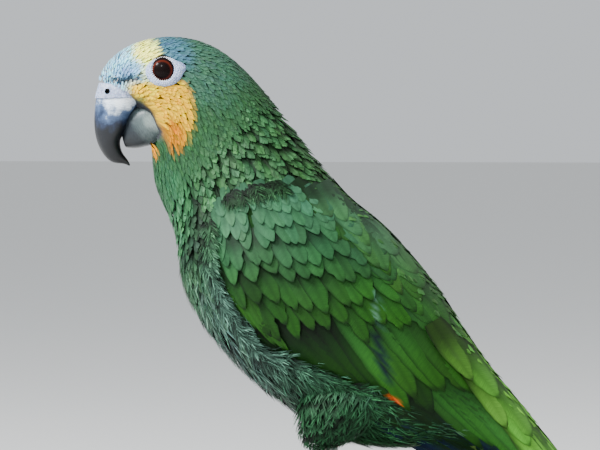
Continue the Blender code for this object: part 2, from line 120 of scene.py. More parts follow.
class Curve:
    """A natural cubic curve through rows of numbers at whole parameters 0, 1, 2 and so on."""

    def __init__(self, rows: list) -> None:
        """Args:
            rows: the numbers at each whole parameter.
        """
        self.rows = np.asarray(rows, float)
        count = len(self.rows)
        matrix = np.eye(count)
        right = np.zeros_like(self.rows)
        for i in range(1, count - 1):
            matrix[i, i - 1 : i + 2] = 1.0, 4.0, 1.0
            right[i] = 6.0 * (self.rows[i - 1] - 2.0 * self.rows[i] + self.rows[i + 1])
        self.bend = np.linalg.solve(matrix, right)

    def __call__(self, t: Array | float) -> Array:
        """Args:
            t: parameters of any shape.

        Returns:
            The rows there, along a new last axis.
        """
        t = np.asarray(t, float)
        i = np.clip(np.floor(t).astype(int), 0, len(self.rows) - 2)
        b = (t - i)[..., None]
        a = 1.0 - b
        cubic = (a**3 - a) * self.bend[i] + (b**3 - b) * self.bend[i + 1]
        return a * self.rows[i] + b * self.rows[i + 1] + cubic / 6.0


class Form(Protocol):
    """A round form that feathers lie on, with s along it and a, an angle, round it."""

    def point(self, s: Array, a: Array, grow: Array | float) -> Array:
        """The point of the form, grown outwards by so many millimetres."""


@dataclass
class BodyForm:
    """The bird's body from face to wing tip, with the head's turn in it."""

    STEPS = 500  # sections that locate looks at
    BATCH = 20000  # points that locate takes at a time

    head_yaw: float = 8.0
    neck_axis_y: float = -40.0
    squareness: float = 0.86
    crown: float = 2.0
    shoulder: float = 6.0
    sections: list = field(
        default_factory=lambda: [
            (-65.2, 206.6, -89.8, 233.0, 8.0),  # face
            (-68.4, 202.4, -81.4, 244.6, 16.6),  # brow
            (-69.4, 199.4, -64.0, 249.8, 20.5),  # crown
            (-69.0, 195.4, -46.4, 246.6, 22.5),  # occiput
            (-68.0, 189.6, -32.4, 236.4, 23.5),  # nape
            (-64.6, 181.4, -19.8, 221.8, 25.0),  # neck
            (-60.0, 169.4, -6.0, 204.0, 29.0),  # shoulder
            (-57.8, 155.0, 9.2, 186.0, 33.0),  # breast
            (-49.6, 136.2, 22.2, 175.2, 34.5),  # chest
            (-32.0, 115.2, 39.2, 156.8, 33.0),  # belly
            (-9.0, 97.8, 52.0, 139.6, 28.5),  # flank
            (19.0, 86.0, 62.8, 122.8, 22.0),  # vent
            (52.0, 86.6, 74.0, 108.6, 16.5),  # tail root
            (79.0, 74.0, 93.0, 85.0, 17.0),  # tail middle
            (113.6, 39.4, 122.4, 45.4, 15.0),  # wing tip
        ]
    )

    def __post_init__(self) -> None:
        """Makes the curve through the sections."""
        self.curve = Curve(self.sections)
        self.last = len(self.sections) - 1.0

    def turned(self, point: Array, share: Array | float = 1.0) -> Array:
        """Turns points about the upright axis of the neck.

        Args:
            point: points along the last axis.
            share: how much of the head's turn each takes.

        Returns:
            The turned points.
        """
        angle = math.radians(self.head_yaw) * np.asarray(share)
        x, y, z = point[..., 0], point[..., 1] - self.neck_axis_y, point[..., 2]
        cos, sin = np.cos(angle), np.sin(angle)
        return np.stack([x * cos - y * sin, self.neck_axis_y + x * sin + y * cos, z], axis=-1)

    def turn_share(self, s: Array) -> Array:
        """How much of the head's turn a section takes."""
        return smooth((self.shoulder - s) / (self.shoulder - self.crown))

    def point(self, s: Array, a: Array, grow: Array | float = 0.0) -> Array:
        """A point of the body; a goes from -90 degrees at the belly to 90 at the back, by the left side."""
        s = np.clip(s, -0.2, self.last + 0.4)
        low_y, low_z, high_y, high_z, wide = np.moveaxis(self.curve(s), -1, 0)
        half_y, half_z = (high_y - low_y) / 2.0, (high_z - low_z) / 2.0
        half = np.hypot(half_y, half_z)
        rise, out = np.sin(a), np.cos(a)
        share = rise * (half + grow) / half
        x = np.sign(out) * np.abs(out) ** self.squareness * (wide + grow)
        y, z = (low_y + high_y) / 2.0 + half_y * share, (low_z + high_z) / 2.0 + half_z * share
        return self.turned(np.stack([x, y, z], axis=-1), self.turn_share(s))

    def side_plane(self, s: Array, a: Array) -> tuple[Array, Array]:
        """The (y, z) of body points before the head's turn, which the markings are given in."""
        low_y, low_z, high_y, high_z, _ = np.moveaxis(self.curve(s), -1, 0)
        share = (1.0 + np.sin(a)) / 2.0
        return between((low_y, high_y), share), between((low_z, high_z), share)

    def locate(self, y: Array, z: Array, first: float, last: float) -> tuple[Array, Array, Array]:
        """Finds side-plane points on the left side of the body.

        Args:
            y: how far each is towards the tail.
            z: its height.
            first: the section to look from.
            last: the section to look to.

        Returns:
            s, a, and how far each point lies past the outline, towards the back if over zero.
        """
        s_all = np.linspace(first, last, self.STEPS)
        low_y, low_z, high_y, high_z, _ = np.moveaxis(self.curve(s_all), -1, 0)
        ay, az = high_y - low_y, high_z - low_z
        length = np.hypot(ay, az)
        flat_y, flat_z = np.ravel(y), np.ravel(z)
        s_out, a_out, past = np.empty(flat_y.size), np.empty(flat_y.size), np.empty(flat_y.size)
        for i in range(0, flat_y.size, self.BATCH):
            part = slice(i, i + self.BATCH)
            dy, dz = flat_y[part, None] - low_y, flat_z[part, None] - low_z
            across = (dy * az - dz * ay) / length
            share = (dy * ay + dz * az) / length**2
            score = np.abs(across) + 2.0 * np.maximum(np.abs(share - 0.5) - 0.5, 0.0)
            best = score.argmin(axis=1)
            row = np.arange(best.size)
            ahead = np.minimum(best + 1, self.STEPS - 1)
            step = 1.0 - 2.0 * (across[row, best] * across[row, ahead] >= 0.0)
            near = np.clip(best + step.astype(int), 0, self.STEPS - 1)
            here, there = np.abs(across[row, best]), np.abs(across[row, near])
            blend = here / np.maximum(here + there, 1e-9)
            s_out[part] = s_all[best] * (1.0 - blend) + s_all[near] * blend
            rise = (share[row, best] * (1.0 - blend) + share[row, near] * blend) * 2.0 - 1.0
            held = np.clip(rise, -0.985, 0.985)
            a_out[part] = np.arcsin(held)
            past[part] = (rise - held) * length[best] / 2.0
        shape = np.shape(y)
        return s_out.reshape(shape), a_out.reshape(shape), past.reshape(shape)

    def on_side(self, y: Array, z: Array, lift: Array | float, span: Pair = (0.0, 14.3)) -> Array:
        """The points of the left side over side-plane points, lifted off it by so many millimetres."""
        s, a, past = self.locate(y, z, *span)
        low_y, low_z, high_y, high_z, wide = np.moveaxis(self.curve(s), -1, 0)
        length = np.hypot(high_y - low_y, high_z - low_z)
        found = self.point(s, a + 0.15 * np.tanh(np.maximum(past, 0.0) / wide / 0.15), lift)
        past = np.minimum(past, 0.0)
        found[..., 1] += past * (high_y - low_y) / length
        found[..., 2] += past * (high_z - low_z) / length
        return found


@dataclass
class ThighForm:
    """A feathered thigh from hip to ankle, as rings at a height."""

    side: Side
    rings: list = field(
        default_factory=lambda: [
            (15.0, 18.0, 120.0, 8.0, 14.0),
            (17.5, 14.0, 110.0, 11.0, 19.0),
            (18.0, 8.5, 99.0, 11.0, 17.5),
            (16.6, 3.4, 90.5, 8.2, 11.5),
            (14.6, 0.4, 85.4, 4.6, 5.4),
        ]
    )

    def __post_init__(self) -> None:
        """Makes the curve through the rings."""
        self.curve = Curve(self.rings)

    def point(self, s: Array, a: Array, grow: Array | float = 0.0) -> Array:
        """A point of the thigh; a goes round it, 0 at its outer side and 90 degrees towards the tail."""
        x, y, z, wide, deep = np.moveaxis(self.curve(np.clip(s, 0.0, 4.35)), -1, 0)
        x = x + np.cos(a) * (wide + grow)
        return np.stack([x * self.side.value, y + np.sin(a) * (deep + grow), z], axis=-1)


def enclosed(line: Array, y: Array, z: Array) -> Array:
    """Whether each place lies within a closed line of points."""
    inside = np.zeros(np.shape(y), bool)
    for (y0, z0), (y1, z1) in zip(line, np.roll(line, -1, axis=0)):
        crosses = (z0 > z) != (z1 > z)
        inside ^= crosses & (y < (y1 - y0) * (z - z0) / (z1 - z0 + 1e-12) + y0)
    return inside


def away_from(line: Array, y: Array, z: Array) -> Array:
    """How far each place is from an open line of points."""
    starts, ends = line[:-1], line[1:]
    along = ends - starts
    points = np.stack([y, z], axis=-1)[..., None, :]
    share = np.clip(((points - starts) * along).sum(-1) / (along * along).sum(-1), 0.0, 1.0)
    away = points - (starts + share[..., None] * along)
    return np.hypot(away[..., 0], away[..., 1]).min(axis=-1)


def axes_of(form: Form, s: Array, a: Array) -> tuple[Array, Array]:
    """How many millimetres a form goes for one unit of s, and of a, at each place."""
    step = 1e-3
    along = form.point(s + step, a, 0.0) - form.point(s - step, a, 0.0)
    across = form.point(s, a + step, 0.0) - form.point(s, a - step, 0.0)
    lengths = [np.linalg.norm(d, axis=-1) / (2.0 * step) for d in (along, across)]
    return np.maximum(lengths[0], 2.0), np.maximum(lengths[1], 2.0)


class Cut(Protocol):
    """A way to cut feathers."""

    def plume(self, rng: np.random.Generator) -> "Plume":
        """Cuts one feather of unit length and half-width."""


@dataclass(frozen=True)
class BarbCut:
    """A feather whose barbs are bundles that leave the shaft forwards and make its outline together."""

    bundles: int = 7
    steps: int = 2
    sweep: float = 0.28  # how far forward a barb's end is from its root, as a share of the length
    fill: float = 1.0  # how much of the outline a bundle's end fills
    ragged: float = 0.08  # how uneven the bundles' ends are
    root_width: float = 0.45
    blunt: float = 3.0  # how square the tip is
    tone: float = 0.10  # how uneven the bundles' colours are

    def plume(self, rng: np.random.Generator) -> "Plume":
        """Cuts one feather of unit length and half-width.

        Args:
            rng: the source of its unevenness.

        Returns:
            The feather's flat pattern.
        """
        f, g, tone, faces = [], [], [], []
        for side in (1.0, -1.0):
            for i in range(self.bundles):
                half = 0.5 / self.bundles
                middle = (i + 0.5) / self.bundles
                reach = 1.0 + rng.normal(0.0, self.ragged)
                skew = rng.normal(0.0, self.ragged * 0.35)
                colour = math.exp(rng.normal(0.0, self.tone))
                start = len(f)
                for k in range(self.steps + 1):
                    r = k / self.steps
                    spread = half * (1.08 + (self.fill - 1.08) * r)
                    for v in (middle - spread, middle + spread):
                        v = min(max(v, 0.0), 1.0)
                        full = between((self.root_width, 1.0), float(smooth(v / 0.35)))
                        wide = full * (1.0 - v**self.blunt) ** 0.5
                        ahead = self.sweep * (1.0 - v)
                        f.append(v + (ahead + skew) * r**1.25 * reach)
                        g.append(side * wide * r * reach)
                        tone.append(colour)
                for k in range(self.steps):
                    a, b, c, d = start + 2 * k, start + 2 * k + 1, start + 2 * k + 3, start + 2 * k + 2
                    faces.append((a, b, c, d) if side < 0.0 else (a, d, c, b))
        return Plume(np.array(f), np.array(g), np.array(tone), np.array(faces))


@dataclass(frozen=True)
class StrandCut:
    """A loose feather of separate hair-like barbs."""

    strands: int = 16
    breadth: float = 0.075  # of a barb at its root, as a share of the half-width
    tone: float = 0.45

    def plume(self, rng: np.random.Generator) -> "Plume":
        """Cuts one feather of unit length and half-width.

        Args:
            rng: the source of its unevenness.

        Returns:
            The feather's flat pattern.
        """
        f, g, tone, faces = [], [], [], []
        for i in range(self.strands):
            side = 1.0 if i % 2 else -1.0
            v = 0.08 + 0.62 * (i + rng.uniform(0.0, 1.0)) / self.strands
            end = min(1.06, v + rng.uniform(0.34, 0.52))
            out = side * rng.uniform(0.35, 1.0) * (1.15 - 0.75 * v)
            colour = math.exp(rng.normal(0.0, self.tone))
            start = len(f)
            for r, wide in ((0.0, 1.0), (0.5, 0.9), (1.0, 0.22)):
                for edge in (-1.0, 1.0):
                    f.append(v + (end - v) * r)
                    g.append(out * r**0.75 + edge * self.breadth * wide)
                    tone.append(colour)
            for k in range(2):
                a = start + 2 * k
                faces.append((a, a + 1, a + 3, a + 2))
        return Plume(np.array(f), np.array(g), np.array(tone), np.array(faces))


@dataclass(frozen=True)
class VaneCut:
    """A closed feather with a smooth, rounded outline and a dark rim."""

    rows: int = 9
    columns: int = 7
    root_width: float = 0.5
    blunt: float = 2.2
    widest: float = 0.45
    rim: float = 0.5
    splits: int = 1
    arc: float = 0.10  # how far the edges lie behind the shaft

    def plume(self, rng: np.random.Generator) -> "Plume":
        """Cuts one feather of unit length and half-width.

        Args:
            rng: the source of its unevenness.

        Returns:
            The feather's flat pattern.
        """
        v = np.sin(np.linspace(0.0, math.pi / 2.0, self.rows)) ** 0.9
        u = np.linspace(-1.0, 1.0, self.columns)
        wide = between((self.root_width, 1.0), smooth(v / self.widest)) * (1.0 - v**self.blunt) ** 0.5
        wide = np.maximum(wide, 0.06) * (1.0 + rng.normal(0.0, 0.03, self.rows))
        lean = rng.normal(0.0, 0.06)
        f = v[:, None] - self.arc * (u**2)[None] * np.sin(math.pi * v)[:, None] ** 0.5
        g = u[None] * wide[:, None] + lean * v[:, None] ** 2
        edge = np.maximum(np.abs(u)[None] * np.ones_like(f),
            smooth((v - 0.80) / 0.2)[:, None] * np.ones_like(f))
        tone = 1.0 - self.rim * smooth((edge - 0.70) / 0.30)
        for _ in range(self.splits):
            row = int(rng.integers(self.rows // 2, self.rows - 1))
            column = int(rng.choice([0, self.columns - 1]))
            g[row, column] *= 0.72
            tone[row, column] *= 0.6
        index = np.arange(self.rows * self.columns).reshape(self.rows, self.columns)
        faces = np.stack([index[:-1, :-1], index[:-1, 1:], index[1:, 1:], index[1:, :-1]],
            axis=-1).reshape(-1, 4)
        return Plume(f.ravel(), g.ravel(), tone.ravel(), faces)


@dataclass(frozen=True)
class Plume:
    """The flat pattern of one feather."""

    f: Array
    g: Array
    tone: Array
    faces: Array


@dataclass
class Roots:
    """Where feathers stand and how they lie, one row for each; lifts are over the form's surface."""

    s: Array
    a: Array
    lie: Array
    length: Array
    width: Array
    low: Array
    high: Array
    camber: Array
    colour: Array
    tip: Array
    place: Array  # on the unwrap, from 0 to 1
    # the root's painted shade: partly real darker feather bases, partly shade under the feathers over it
    dark: Array  # how light the root is, as a share of the tip

    def chosen(self, keep: Array) -> "Roots":
        """The rows where keep is true."""
        return Roots(**{name: getattr(self, name)[keep] for name in self.__dataclass_fields__})


class Vanes:
    """A growing joined mesh of feathers with a colour, a vane map and a bake map for each."""

    PATCH = 0.003

    def __init__(self, name: str) -> None:
        """Args:
            name: the piece's name.
        """
        self.name = name
        self.points: list[Array] = []
        self.faces: list[Array] = []
        self.colours: list[Array] = []
        self.vane: list[Array] = []
        self.bake: list[Array] = []
        self.count = 0

    def add(self, points: Array, plume: Plume, colours: Array, lengths: Array, place: Array,
            patch: Pair) -> None:
        """Adds feathers that share a pattern.

        Args:
            points: feathers by vertices by 3, in millimetres.
            plume: their pattern.
            colours: feathers by vertices by 3.
            lengths: how long each is.
            place: each one's corner on the unwrap.
            patch: the size of each one's patch there.
        """
        feathers, size = points.shape[:2]
        self.points.append(points.reshape(-1, 3))
        offsets = self.count + np.arange(feathers)[:, None, None] * size
        self.faces.append((plume.faces[None] + offsets).reshape(-1, 4))
        self.colours.append(colours.reshape(-1, 3))
        f, g = np.clip(plume.f, 0.0, 1.1), plume.g
        vane = np.stack([np.broadcast_to(g, (feathers, size)), f[None] * lengths[:, None] / 10.0], axis=-1)
        self.vane.append(vane.reshape(-1, 2))
        local = np.stack([(g + 1.0) / 2.0 * patch[0], f / 1.1 * patch[1]], axis=-1)
        self.bake.append((place[:, None] + local[None]).reshape(-1, 2))
        self.count += feathers * size

    def lay(self, form: Form, roots: Roots, cuts: list[Plume], rng: np.random.Generator) -> None:
        """Lays feathers on a form.

        Args:
            form: what they lie on.
            roots: where and how.
            cuts: patterns that the feathers choose from.
            rng: the source of the choice.
        """
        choice = rng.integers(0, len(cuts), roots.s.size)
        for i, plume in enumerate(cuts):
            part = roots.chosen(choice == i)
            if not part.s.size:
                continue
            per_s, per_a = axes_of(form, part.s, part.a)
            ahead = plume.f[None] * part.length[:, None]
            aside = plume.g[None] * part.width[:, None] / 2.0
            cos, sin = np.cos(part.lie)[:, None], np.sin(part.lie)[:, None]
            s = part.s[:, None] + (ahead * cos - aside * sin) / per_s[:, None]
            a = part.a[:, None] + (ahead * sin + aside * cos) / per_a[:, None]
            rise = between((part.low[:, None], part.high[:, None]), np.clip(plume.f, 0.0, 1.2)[None] ** 1.2)
            rise = rise - part.camber[:, None] * plume.g[None] ** 2
            points = form.point(s, a, rise)
            self.add(points, plume, shaded(part, plume), part.length, part.place, (self.PATCH, self.PATCH))

    def build(self, finish: "PlumageFinish") -> bpy.types.Object:
        """Makes the piece.

        Args:
            finish: what dresses it.

        Returns:
            The new object.
        """
        points, faces = np.concatenate(self.points) * MM, np.concatenate(self.faces)
        mesh = bpy.data.meshes.new(self.name)
        mesh.vertices.add(len(points))
        mesh.vertices.foreach_set("co", points.ravel())
        mesh.loops.add(faces.size)
        mesh.loops.foreach_set("vertex_index", faces.ravel())
        mesh.polygons.add(len(faces))
        mesh.polygons.foreach_set("loop_start", np.arange(0, faces.size, 4))
        mesh.polygons.foreach_set("use_smooth", np.ones(len(faces), bool))
        mesh.update(calc_edges=True)
        tinted(mesh, np.clip(np.concatenate(self.colours), 0.0, 1.0))
        for name, rows in (("vane", self.vane), ("OFBake", self.bake)):
            layer = mesh.uv_layers.new(name=name)
            layer.data.foreach_set("uv", np.concatenate(rows)[faces.ravel()].ravel())
        mesh.materials.append(finish.material())
        piece = placed(self.name, mesh)
        LOG.info("%s: %d faces", self.name, len(faces))
        return piece


def shaded(roots: Roots, plume: Plume) -> Array:
    """Colours feathers from their roots to their tips; the darker root ends are partly real darker bases and
    partly painted shade under the feathers that lie over them.

    Args:
        roots: the feathers.
        plume: their pattern.

    Returns:
        Feathers by vertices by 3.
    """
    f = np.clip(plume.f, 0.0, 1.0)
    # painted shade at the root ends, partly their real darker bases and partly shade under the feathers over
    # them
    depth = between((roots.dark[:, None], 1.0), smooth((f - 0.38) / 0.56)[None])
    colours = mix(roots.colour[:, None], roots.tip[:, None],
        np.broadcast_to(smooth(f)[None], (roots.s.size, f.size)))
    edge = 1.0 - 0.30 * smooth((np.abs(plume.g) - 0.55) / 0.45)
    return colours * (depth * (plume.tone * edge)[None])[..., None]


def scattered(
    form: Form, s_span: Pair, a_span: Pair, spacing: Callable[[Array, Array], Array], rng: np.random.Generator
) -> tuple[Array, Array]:
    """Spreads roots evenly over a part of a form.

    Args:
        form: what they stand on.
        s_span: where it begins and ends.
        a_span: from which angle to which, in degrees.
        spacing: the least distance between roots, for places (s, a).
        rng: the source of the places.

    Returns:
        The roots' s and a, in radians.
    """
    tries = 60000  # before those too near another are dropped
    s = rng.uniform(*s_span, tries)
    a = np.radians(rng.uniform(*a_span, tries))
    per_s, per_a = axes_of(form, s, a)
    area = per_s * per_a
    gap = spacing(s, a)
    keep = rng.uniform(0.0, 1.0, tries) < (area / gap**2) / (area / gap**2).max()
    s, a, gap = s[keep], a[keep], gap[keep]
    points = form.point(s, a, 0.0)
    cell = float(gap.max())
    cells: dict[tuple[int, int, int], list[int]] = {}
    chosen: list[int] = []
    keys = np.floor(points / cell).astype(int)
    for i in range(s.size):
        x, y, z = keys[i]
        near = [j for u, v, w in STEPS_ROUND for j in cells.get((x + u, y + v, z + w), ())]
        if near:
            away = points[near] - points[i]
            if (away * away).sum(axis=1).min() < gap[i] ** 2:
                continue
        cells.setdefault((x, y, z), []).append(i)
        chosen.append(i)
    return s[chosen], a[chosen]


@dataclass(frozen=True)
class Marking:
    """A soft-edged ellipse of colour on the side plane; its tilt is in degrees."""

    middle: Pair
    radii: Pair
    tilt: float
    colour: Rgb
    edge: float = 0.35
    strength: float = 1.0

    def share(self, y: Array, z: Array) -> Array:
        """How much of the marking's colour each place has."""
        turn = math.radians(self.tilt)
        dy, dz = y - self.middle[0], z - self.middle[1]
        along, across = dy * math.cos(turn) + dz * math.sin(turn), dz * math.cos(turn) - dy * math.sin(turn)
        away = np.hypot(along / self.radii[0], across / self.radii[1])
        return self.strength * (1.0 - smooth((away - 1.0 + self.edge) / (2.0 * self.edge)))


@dataclass
class Plumage:
    """The colours of the coat and of the skin under it, by place."""

    ground: Rgb = (44, 81, 51)
    markings: list = field(
        default_factory=lambda: [
            Marking((-5.0, 120.0), (62.0, 44.0), -40.0, (47, 71, 62), 0.25),  # belly and breast
            Marking((-54.0, 178.0), (10.0, 12.0), 6.0, (28, 44, 35), 0.5),  # upper breast
            Marking((-64.0, 186.0), (9.0, 18.0), 5.0, (44, 88, 58), 0.45),  # throat
            Marking((12.0, 98.0), (35.0, 24.0), -30.0, (24, 56, 34), 0.5),  # thigh
            Marking((30.0, 172.0), (60.0, 16.0), -45.0, (43, 77, 40), 0.6),  # mantle
            Marking((78.0, 110.0), (48.0, 19.0), -52.0, (80, 140, 44), 0.35),  # rump
            Marking((78.0, 66.0), (34.0, 12.0), -42.0, (102, 134, 43), 0.5),  # under the tail
            Marking((-50.0, 240.0), (15.0, 13.0), -20.0, (56, 93, 75), 0.6),  # hind crown
            Marking((-67.5, 243.4), (10.5, 8.6), -10.0, (62, 102, 120), 0.5),  # crown
            Marking((-84.5, 238.0), (14.0, 12.0), 45.0, (150, 220, 252), 0.25),  # forehead
            Marking((-73.6, 243.0), (4.4, 6.6), 25.0, (248, 252, 120), 0.45),  # forecrown
            Marking((-73.6, 234.4), (2.0, 3.4), 10.0, (240, 248, 190), 0.5, 0.8),
            Marking((-79.5, 235.4), (4.6, 3.0), 20.0, (112, 146, 190), 0.6, 0.8),  # lores
            Marking((-80.5, 231.9), (6.8, 1.2), 10.0, (36, 56, 72), 0.5),  # dark line before the eye
            Marking((-70.4, 227.0), (9.6, 3.4), -14.0, (224, 182, 8), 0.35),  # cheek
            Marking((-66.4, 221.4), (6.0, 7.0), 0.0, (218, 170, 3), 0.3),
            Marking((-61.2, 222.4), (6.9, 11.2), 8.0, (216, 166, 2), 0.22),
            Marking((-61.4, 213.4), (4.2, 5.4), 8.0, (184, 116, 2), 0.4),
            Marking((-71.2, 206.0), (2.4, 2.6), 0.0, (212, 140, 3), 0.4),  # throat spot
        ]
    )

    def colour(self, y: Array, z: Array) -> Array:
        """The colour of each place, in linear light."""
        found = np.broadcast_to(linear(self.ground), (*np.shape(y), 3)).copy()
        for marking in self.markings:
            found = mix(found, linear(marking.colour), marking.share(y, z))
        return found


# --------------------------------------------------------------------------------------- materials


class Nodes:
    """A short hand for building one material's nodes."""

    def __init__(self, name: str) -> None:
        """Args:
            name: the material's name.
        """
        self.made = bpy.data.materials.new(name)
        self.made.use_nodes = True
        self.tree = self.made.node_tree
        self.shader = self.tree.nodes["Principled BSDF"]

    def node(self, kind: str, values: dict | None = None, **settings: object) -> bpy.types.Node:
        """Adds a node.

        Args:
            kind: its type.
            values: input names or numbers to values, or to sockets that feed them.
            settings: its properties.

        Returns:
            The node.
        """
        made = self.tree.nodes.new(kind)
        for key, value in settings.items():
            setattr(made, key, value)
        for key, value in (values or {}).items():
            self.feed(made.inputs[key], value)
        return made

    def feed(self, socket: bpy.types.NodeSocket, value: object) -> None:
        """Links a socket, or sets its value."""
        if isinstance(value, bpy.types.NodeSocket):
            self.tree.links.new(value, socket)
        else:
            socket.default_value = value

    def math(self, kind: str, *values: object) -> bpy.types.NodeSocket:
        """The result of a Math node."""
        made = self.node("ShaderNodeMath", dict(enumerate(values)), operation=kind)
        return made.outputs[0]

    def blend(self, share: object, a: object, b: object, kind: str = "MIX") -> bpy.types.NodeSocket:
        """The result of a colour Mix node."""
        made = self.node("ShaderNodeMix", data_type="RGBA", blend_type=kind)
        for index, value in ((0, share), (6, a), (7, b)):
            self.feed(made.inputs[index], value)
        return made.outputs[2]

    def ramp(self, value: object, stops: list[tuple[float, Rgb]]) -> bpy.types.NodeSocket:
        """A colour ramp over a value, with its stops' colours of 0 to 255."""
        made = self.node("ShaderNodeValToRGB", {0: value})
        elements = made.color_ramp.elements
        while len(elements) < len(stops):
            elements.new(1.0)
        for element, (place, colour) in zip(elements, stops):
            element.position = place
            element.color = (*linear(colour), 1.0)
        return made.outputs[0]

    def noise(self, vector: object, scale: float, detail: float = 3.0,
            rough: float = 0.5) -> bpy.types.NodeSocket:
        """The value of a noise texture."""
        values = {"Vector": vector, "Scale": scale, "Detail": detail, "Roughness": rough}
        return self.node("ShaderNodeTexNoise", values).outputs["Fac"]

    def coordinates(self, kind: str = "Object") -> bpy.types.NodeSocket:
        """Object coordinates, or the first UV map."""
        return self.node("ShaderNodeTexCoord").outputs[kind]

    def scaled(self, vector: object, scale: Rgb) -> bpy.types.NodeSocket:
        """A vector with its parts scaled."""
        return self.node("ShaderNodeMapping", {"Vector": vector, "Scale": scale}).outputs[0]

    def bump(self, height: object, strength: float, distance: float) -> None:
        """Gives the shader a bump; distance is in metres."""
        values = {"Height": height, "Strength": strength, "Distance": distance}
        self.feed(self.shader.inputs["Normal"], self.node("ShaderNodeBump", values).outputs[0])

    def set(self, **values: object) -> None:
        """Sets the shader's inputs, with _ for a space."""
        for key, value in values.items():
            self.feed(self.shader.inputs[key.replace("_", " ")], value)


@dataclass(frozen=True)
class PlumageFinish:
    """Feathers: the piece's own tint, streaked from barb to barb."""

    name: str
    roughness: float = 0.55
    streak: float = 0.35
    shine: float = 0.08

    def material(self) -> bpy.types.Material:
        """The material."""
        nodes = Nodes(self.name)
        tint = nodes.node("ShaderNodeAttribute", attribute_name="tint").outputs["Color"]
        vane = nodes.node("ShaderNodeUVMap", uv_map="vane").outputs[0]
        parts = nodes.node("ShaderNodeSeparateXYZ", {0: vane})
        side = nodes.math("ABSOLUTE", parts.outputs[0])
        barb = nodes.math("SUBTRACT", parts.outputs[1], nodes.math("MULTIPLY", side, 0.28))
        fine = nodes.math("MULTIPLY", parts.outputs[0], 0.06)
        flat = nodes.node("ShaderNodeCombineXYZ", {0: barb, 1: fine})
        streaks = nodes.noise(flat.outputs[0], 26.0, 2.0)
        dark = nodes.blend(1.0, tint, (0.42, 0.46, 0.44, 1.0), "MULTIPLY")
        light = nodes.blend(1.0, tint, (1.32, 1.28, 1.24, 1.0), "MULTIPLY")
        share = nodes.math("MULTIPLY_ADD", nodes.math("SUBTRACT", streaks, 0.5), 2.6 * self.streak, 0.62)
        colour = nodes.blend(share, dark, light)
        nodes.set(Base_Color=colour, Roughness=self.roughness, Specular_IOR_Level=self.shine)
        nodes.bump(streaks, 0.35, 0.0002)
        return nodes.made


@dataclass(frozen=True)
class SkinFinish:
    """The skin under the coat, in the coat's own colours, darkened as painted shade where it shows between
    the feathers.
    """

    name: str = "skin_under_coat"

    def material(self) -> bpy.types.Material:
        """The material."""
        nodes = Nodes(self.name)
        tint = nodes.node("ShaderNodeAttribute", attribute_name="tint").outputs["Color"]
        grain = nodes.noise(nodes.coordinates(), 900.0, 3.0)
        # painted shade: the coat's colours darkened, as the gaps between feathers look
        dark = nodes.blend(1.0, tint, (0.3, 0.3, 0.3, 1.0), "MULTIPLY")
        nodes.set(Base_Color=nodes.blend(grain, dark, tint), Roughness=0.8)
        nodes.bump(grain, 0.5, 0.0004)
        return nodes.made


@dataclass(frozen=True)
class HornFinish:
    """Beak horn, whose colour runs along its UV map from cere to tip, with growth lines and worn flakes."""

    name: str
    stops: tuple[tuple[float, Rgb], ...]
    roughness: float = 0.32
    # painted shade on ridge and edge, and so a painted highlight between them
    shade: float = 0.0
    wear: float = 0.55

    def material(self) -> bpy.types.Material:
        """The material, with painted shade that darkens its ridge and its edge sooner by the shade, which
        leaves the middle of each side lighter as a painted highlight.
        """
        nodes = Nodes(self.name)
        uv = nodes.coordinates("UV")
        place = nodes.coordinates()
        parts = nodes.node("ShaderNodeSeparateXYZ", {0: uv})
        cloud = nodes.noise(place, 190.0, 4.0, 0.6)
        drift = nodes.math("MULTIPLY", nodes.math("SUBTRACT", cloud, 0.5), 0.34)
        along = nodes.math("ADD", parts.outputs[1], drift)
        ridge = nodes.math("ABSOLUTE", nodes.math("SUBTRACT", parts.outputs[0], 0.5))
        side = nodes.math("ABSOLUTE", nodes.math("SUBTRACT", ridge, 0.23))
        # painted shade: ridge and edge go further along the ramp than the middle of each side
        along = nodes.math("MULTIPLY_ADD", side, self.shade * 2.0, along)
        base = nodes.ramp(along, list(self.stops))
        flakes = nodes.noise(nodes.scaled(uv, (7.0, 60.0, 1.0)), 3.0, 4.0, 0.7)
        worn = nodes.ramp(flakes, [(0.36, (96, 108, 122)), (0.52, (255, 255, 255)), (0.7, (255, 255, 255))])
        nodes.set(Base_Color=nodes.blend(self.wear, base, worn, "MULTIPLY"))
        rough = nodes.math("MULTIPLY_ADD", flakes, 0.35, self.roughness - 0.14)
        nodes.set(Roughness=rough, Coat_Weight=0.12, Coat_Roughness=0.25, Specular_IOR_Level=0.3)
        nodes.bump(flakes, 0.35, 0.0003)
        return nodes.made


@dataclass(frozen=True)
class BareSkinFinish:
    """Bare skin or scales: a base with paler grains, cell by cell."""

    name: str
    base: Rgb
    grain: Rgb
    cell: float = 900.0
    bump: float = 0.0004
    roughness: float = 0.5
    shine: float = 0.5

    def material(self) -> bpy.types.Material:
        """The material."""
        nodes = Nodes(self.name)
        place = nodes.coordinates()
        voronoi = nodes.node("ShaderNodeTexVoronoi", {"Vector": place, "Scale": self.cell}, feature="F1")
        cells = voronoi.outputs["Distance"]
        cloud = nodes.noise(place, self.cell * 0.25, 3.0)
        share = nodes.math("MULTIPLY_ADD", cells, 0.9, nodes.math("MULTIPLY_ADD", cloud, 0.8, -0.45))
        grain, base = ((*linear(colour), 1.0) for colour in (self.grain, self.base))
        nodes.set(Base_Color=nodes.blend(share, grain, base), Subsurface_Weight=0.1, Subsurface_Scale=0.001)
        nodes.set(Roughness=self.roughness, Specular_IOR_Level=self.shine)
        nodes.bump(nodes.math("SUBTRACT", 1.0, cells), 0.7, self.bump)
        return nodes.made


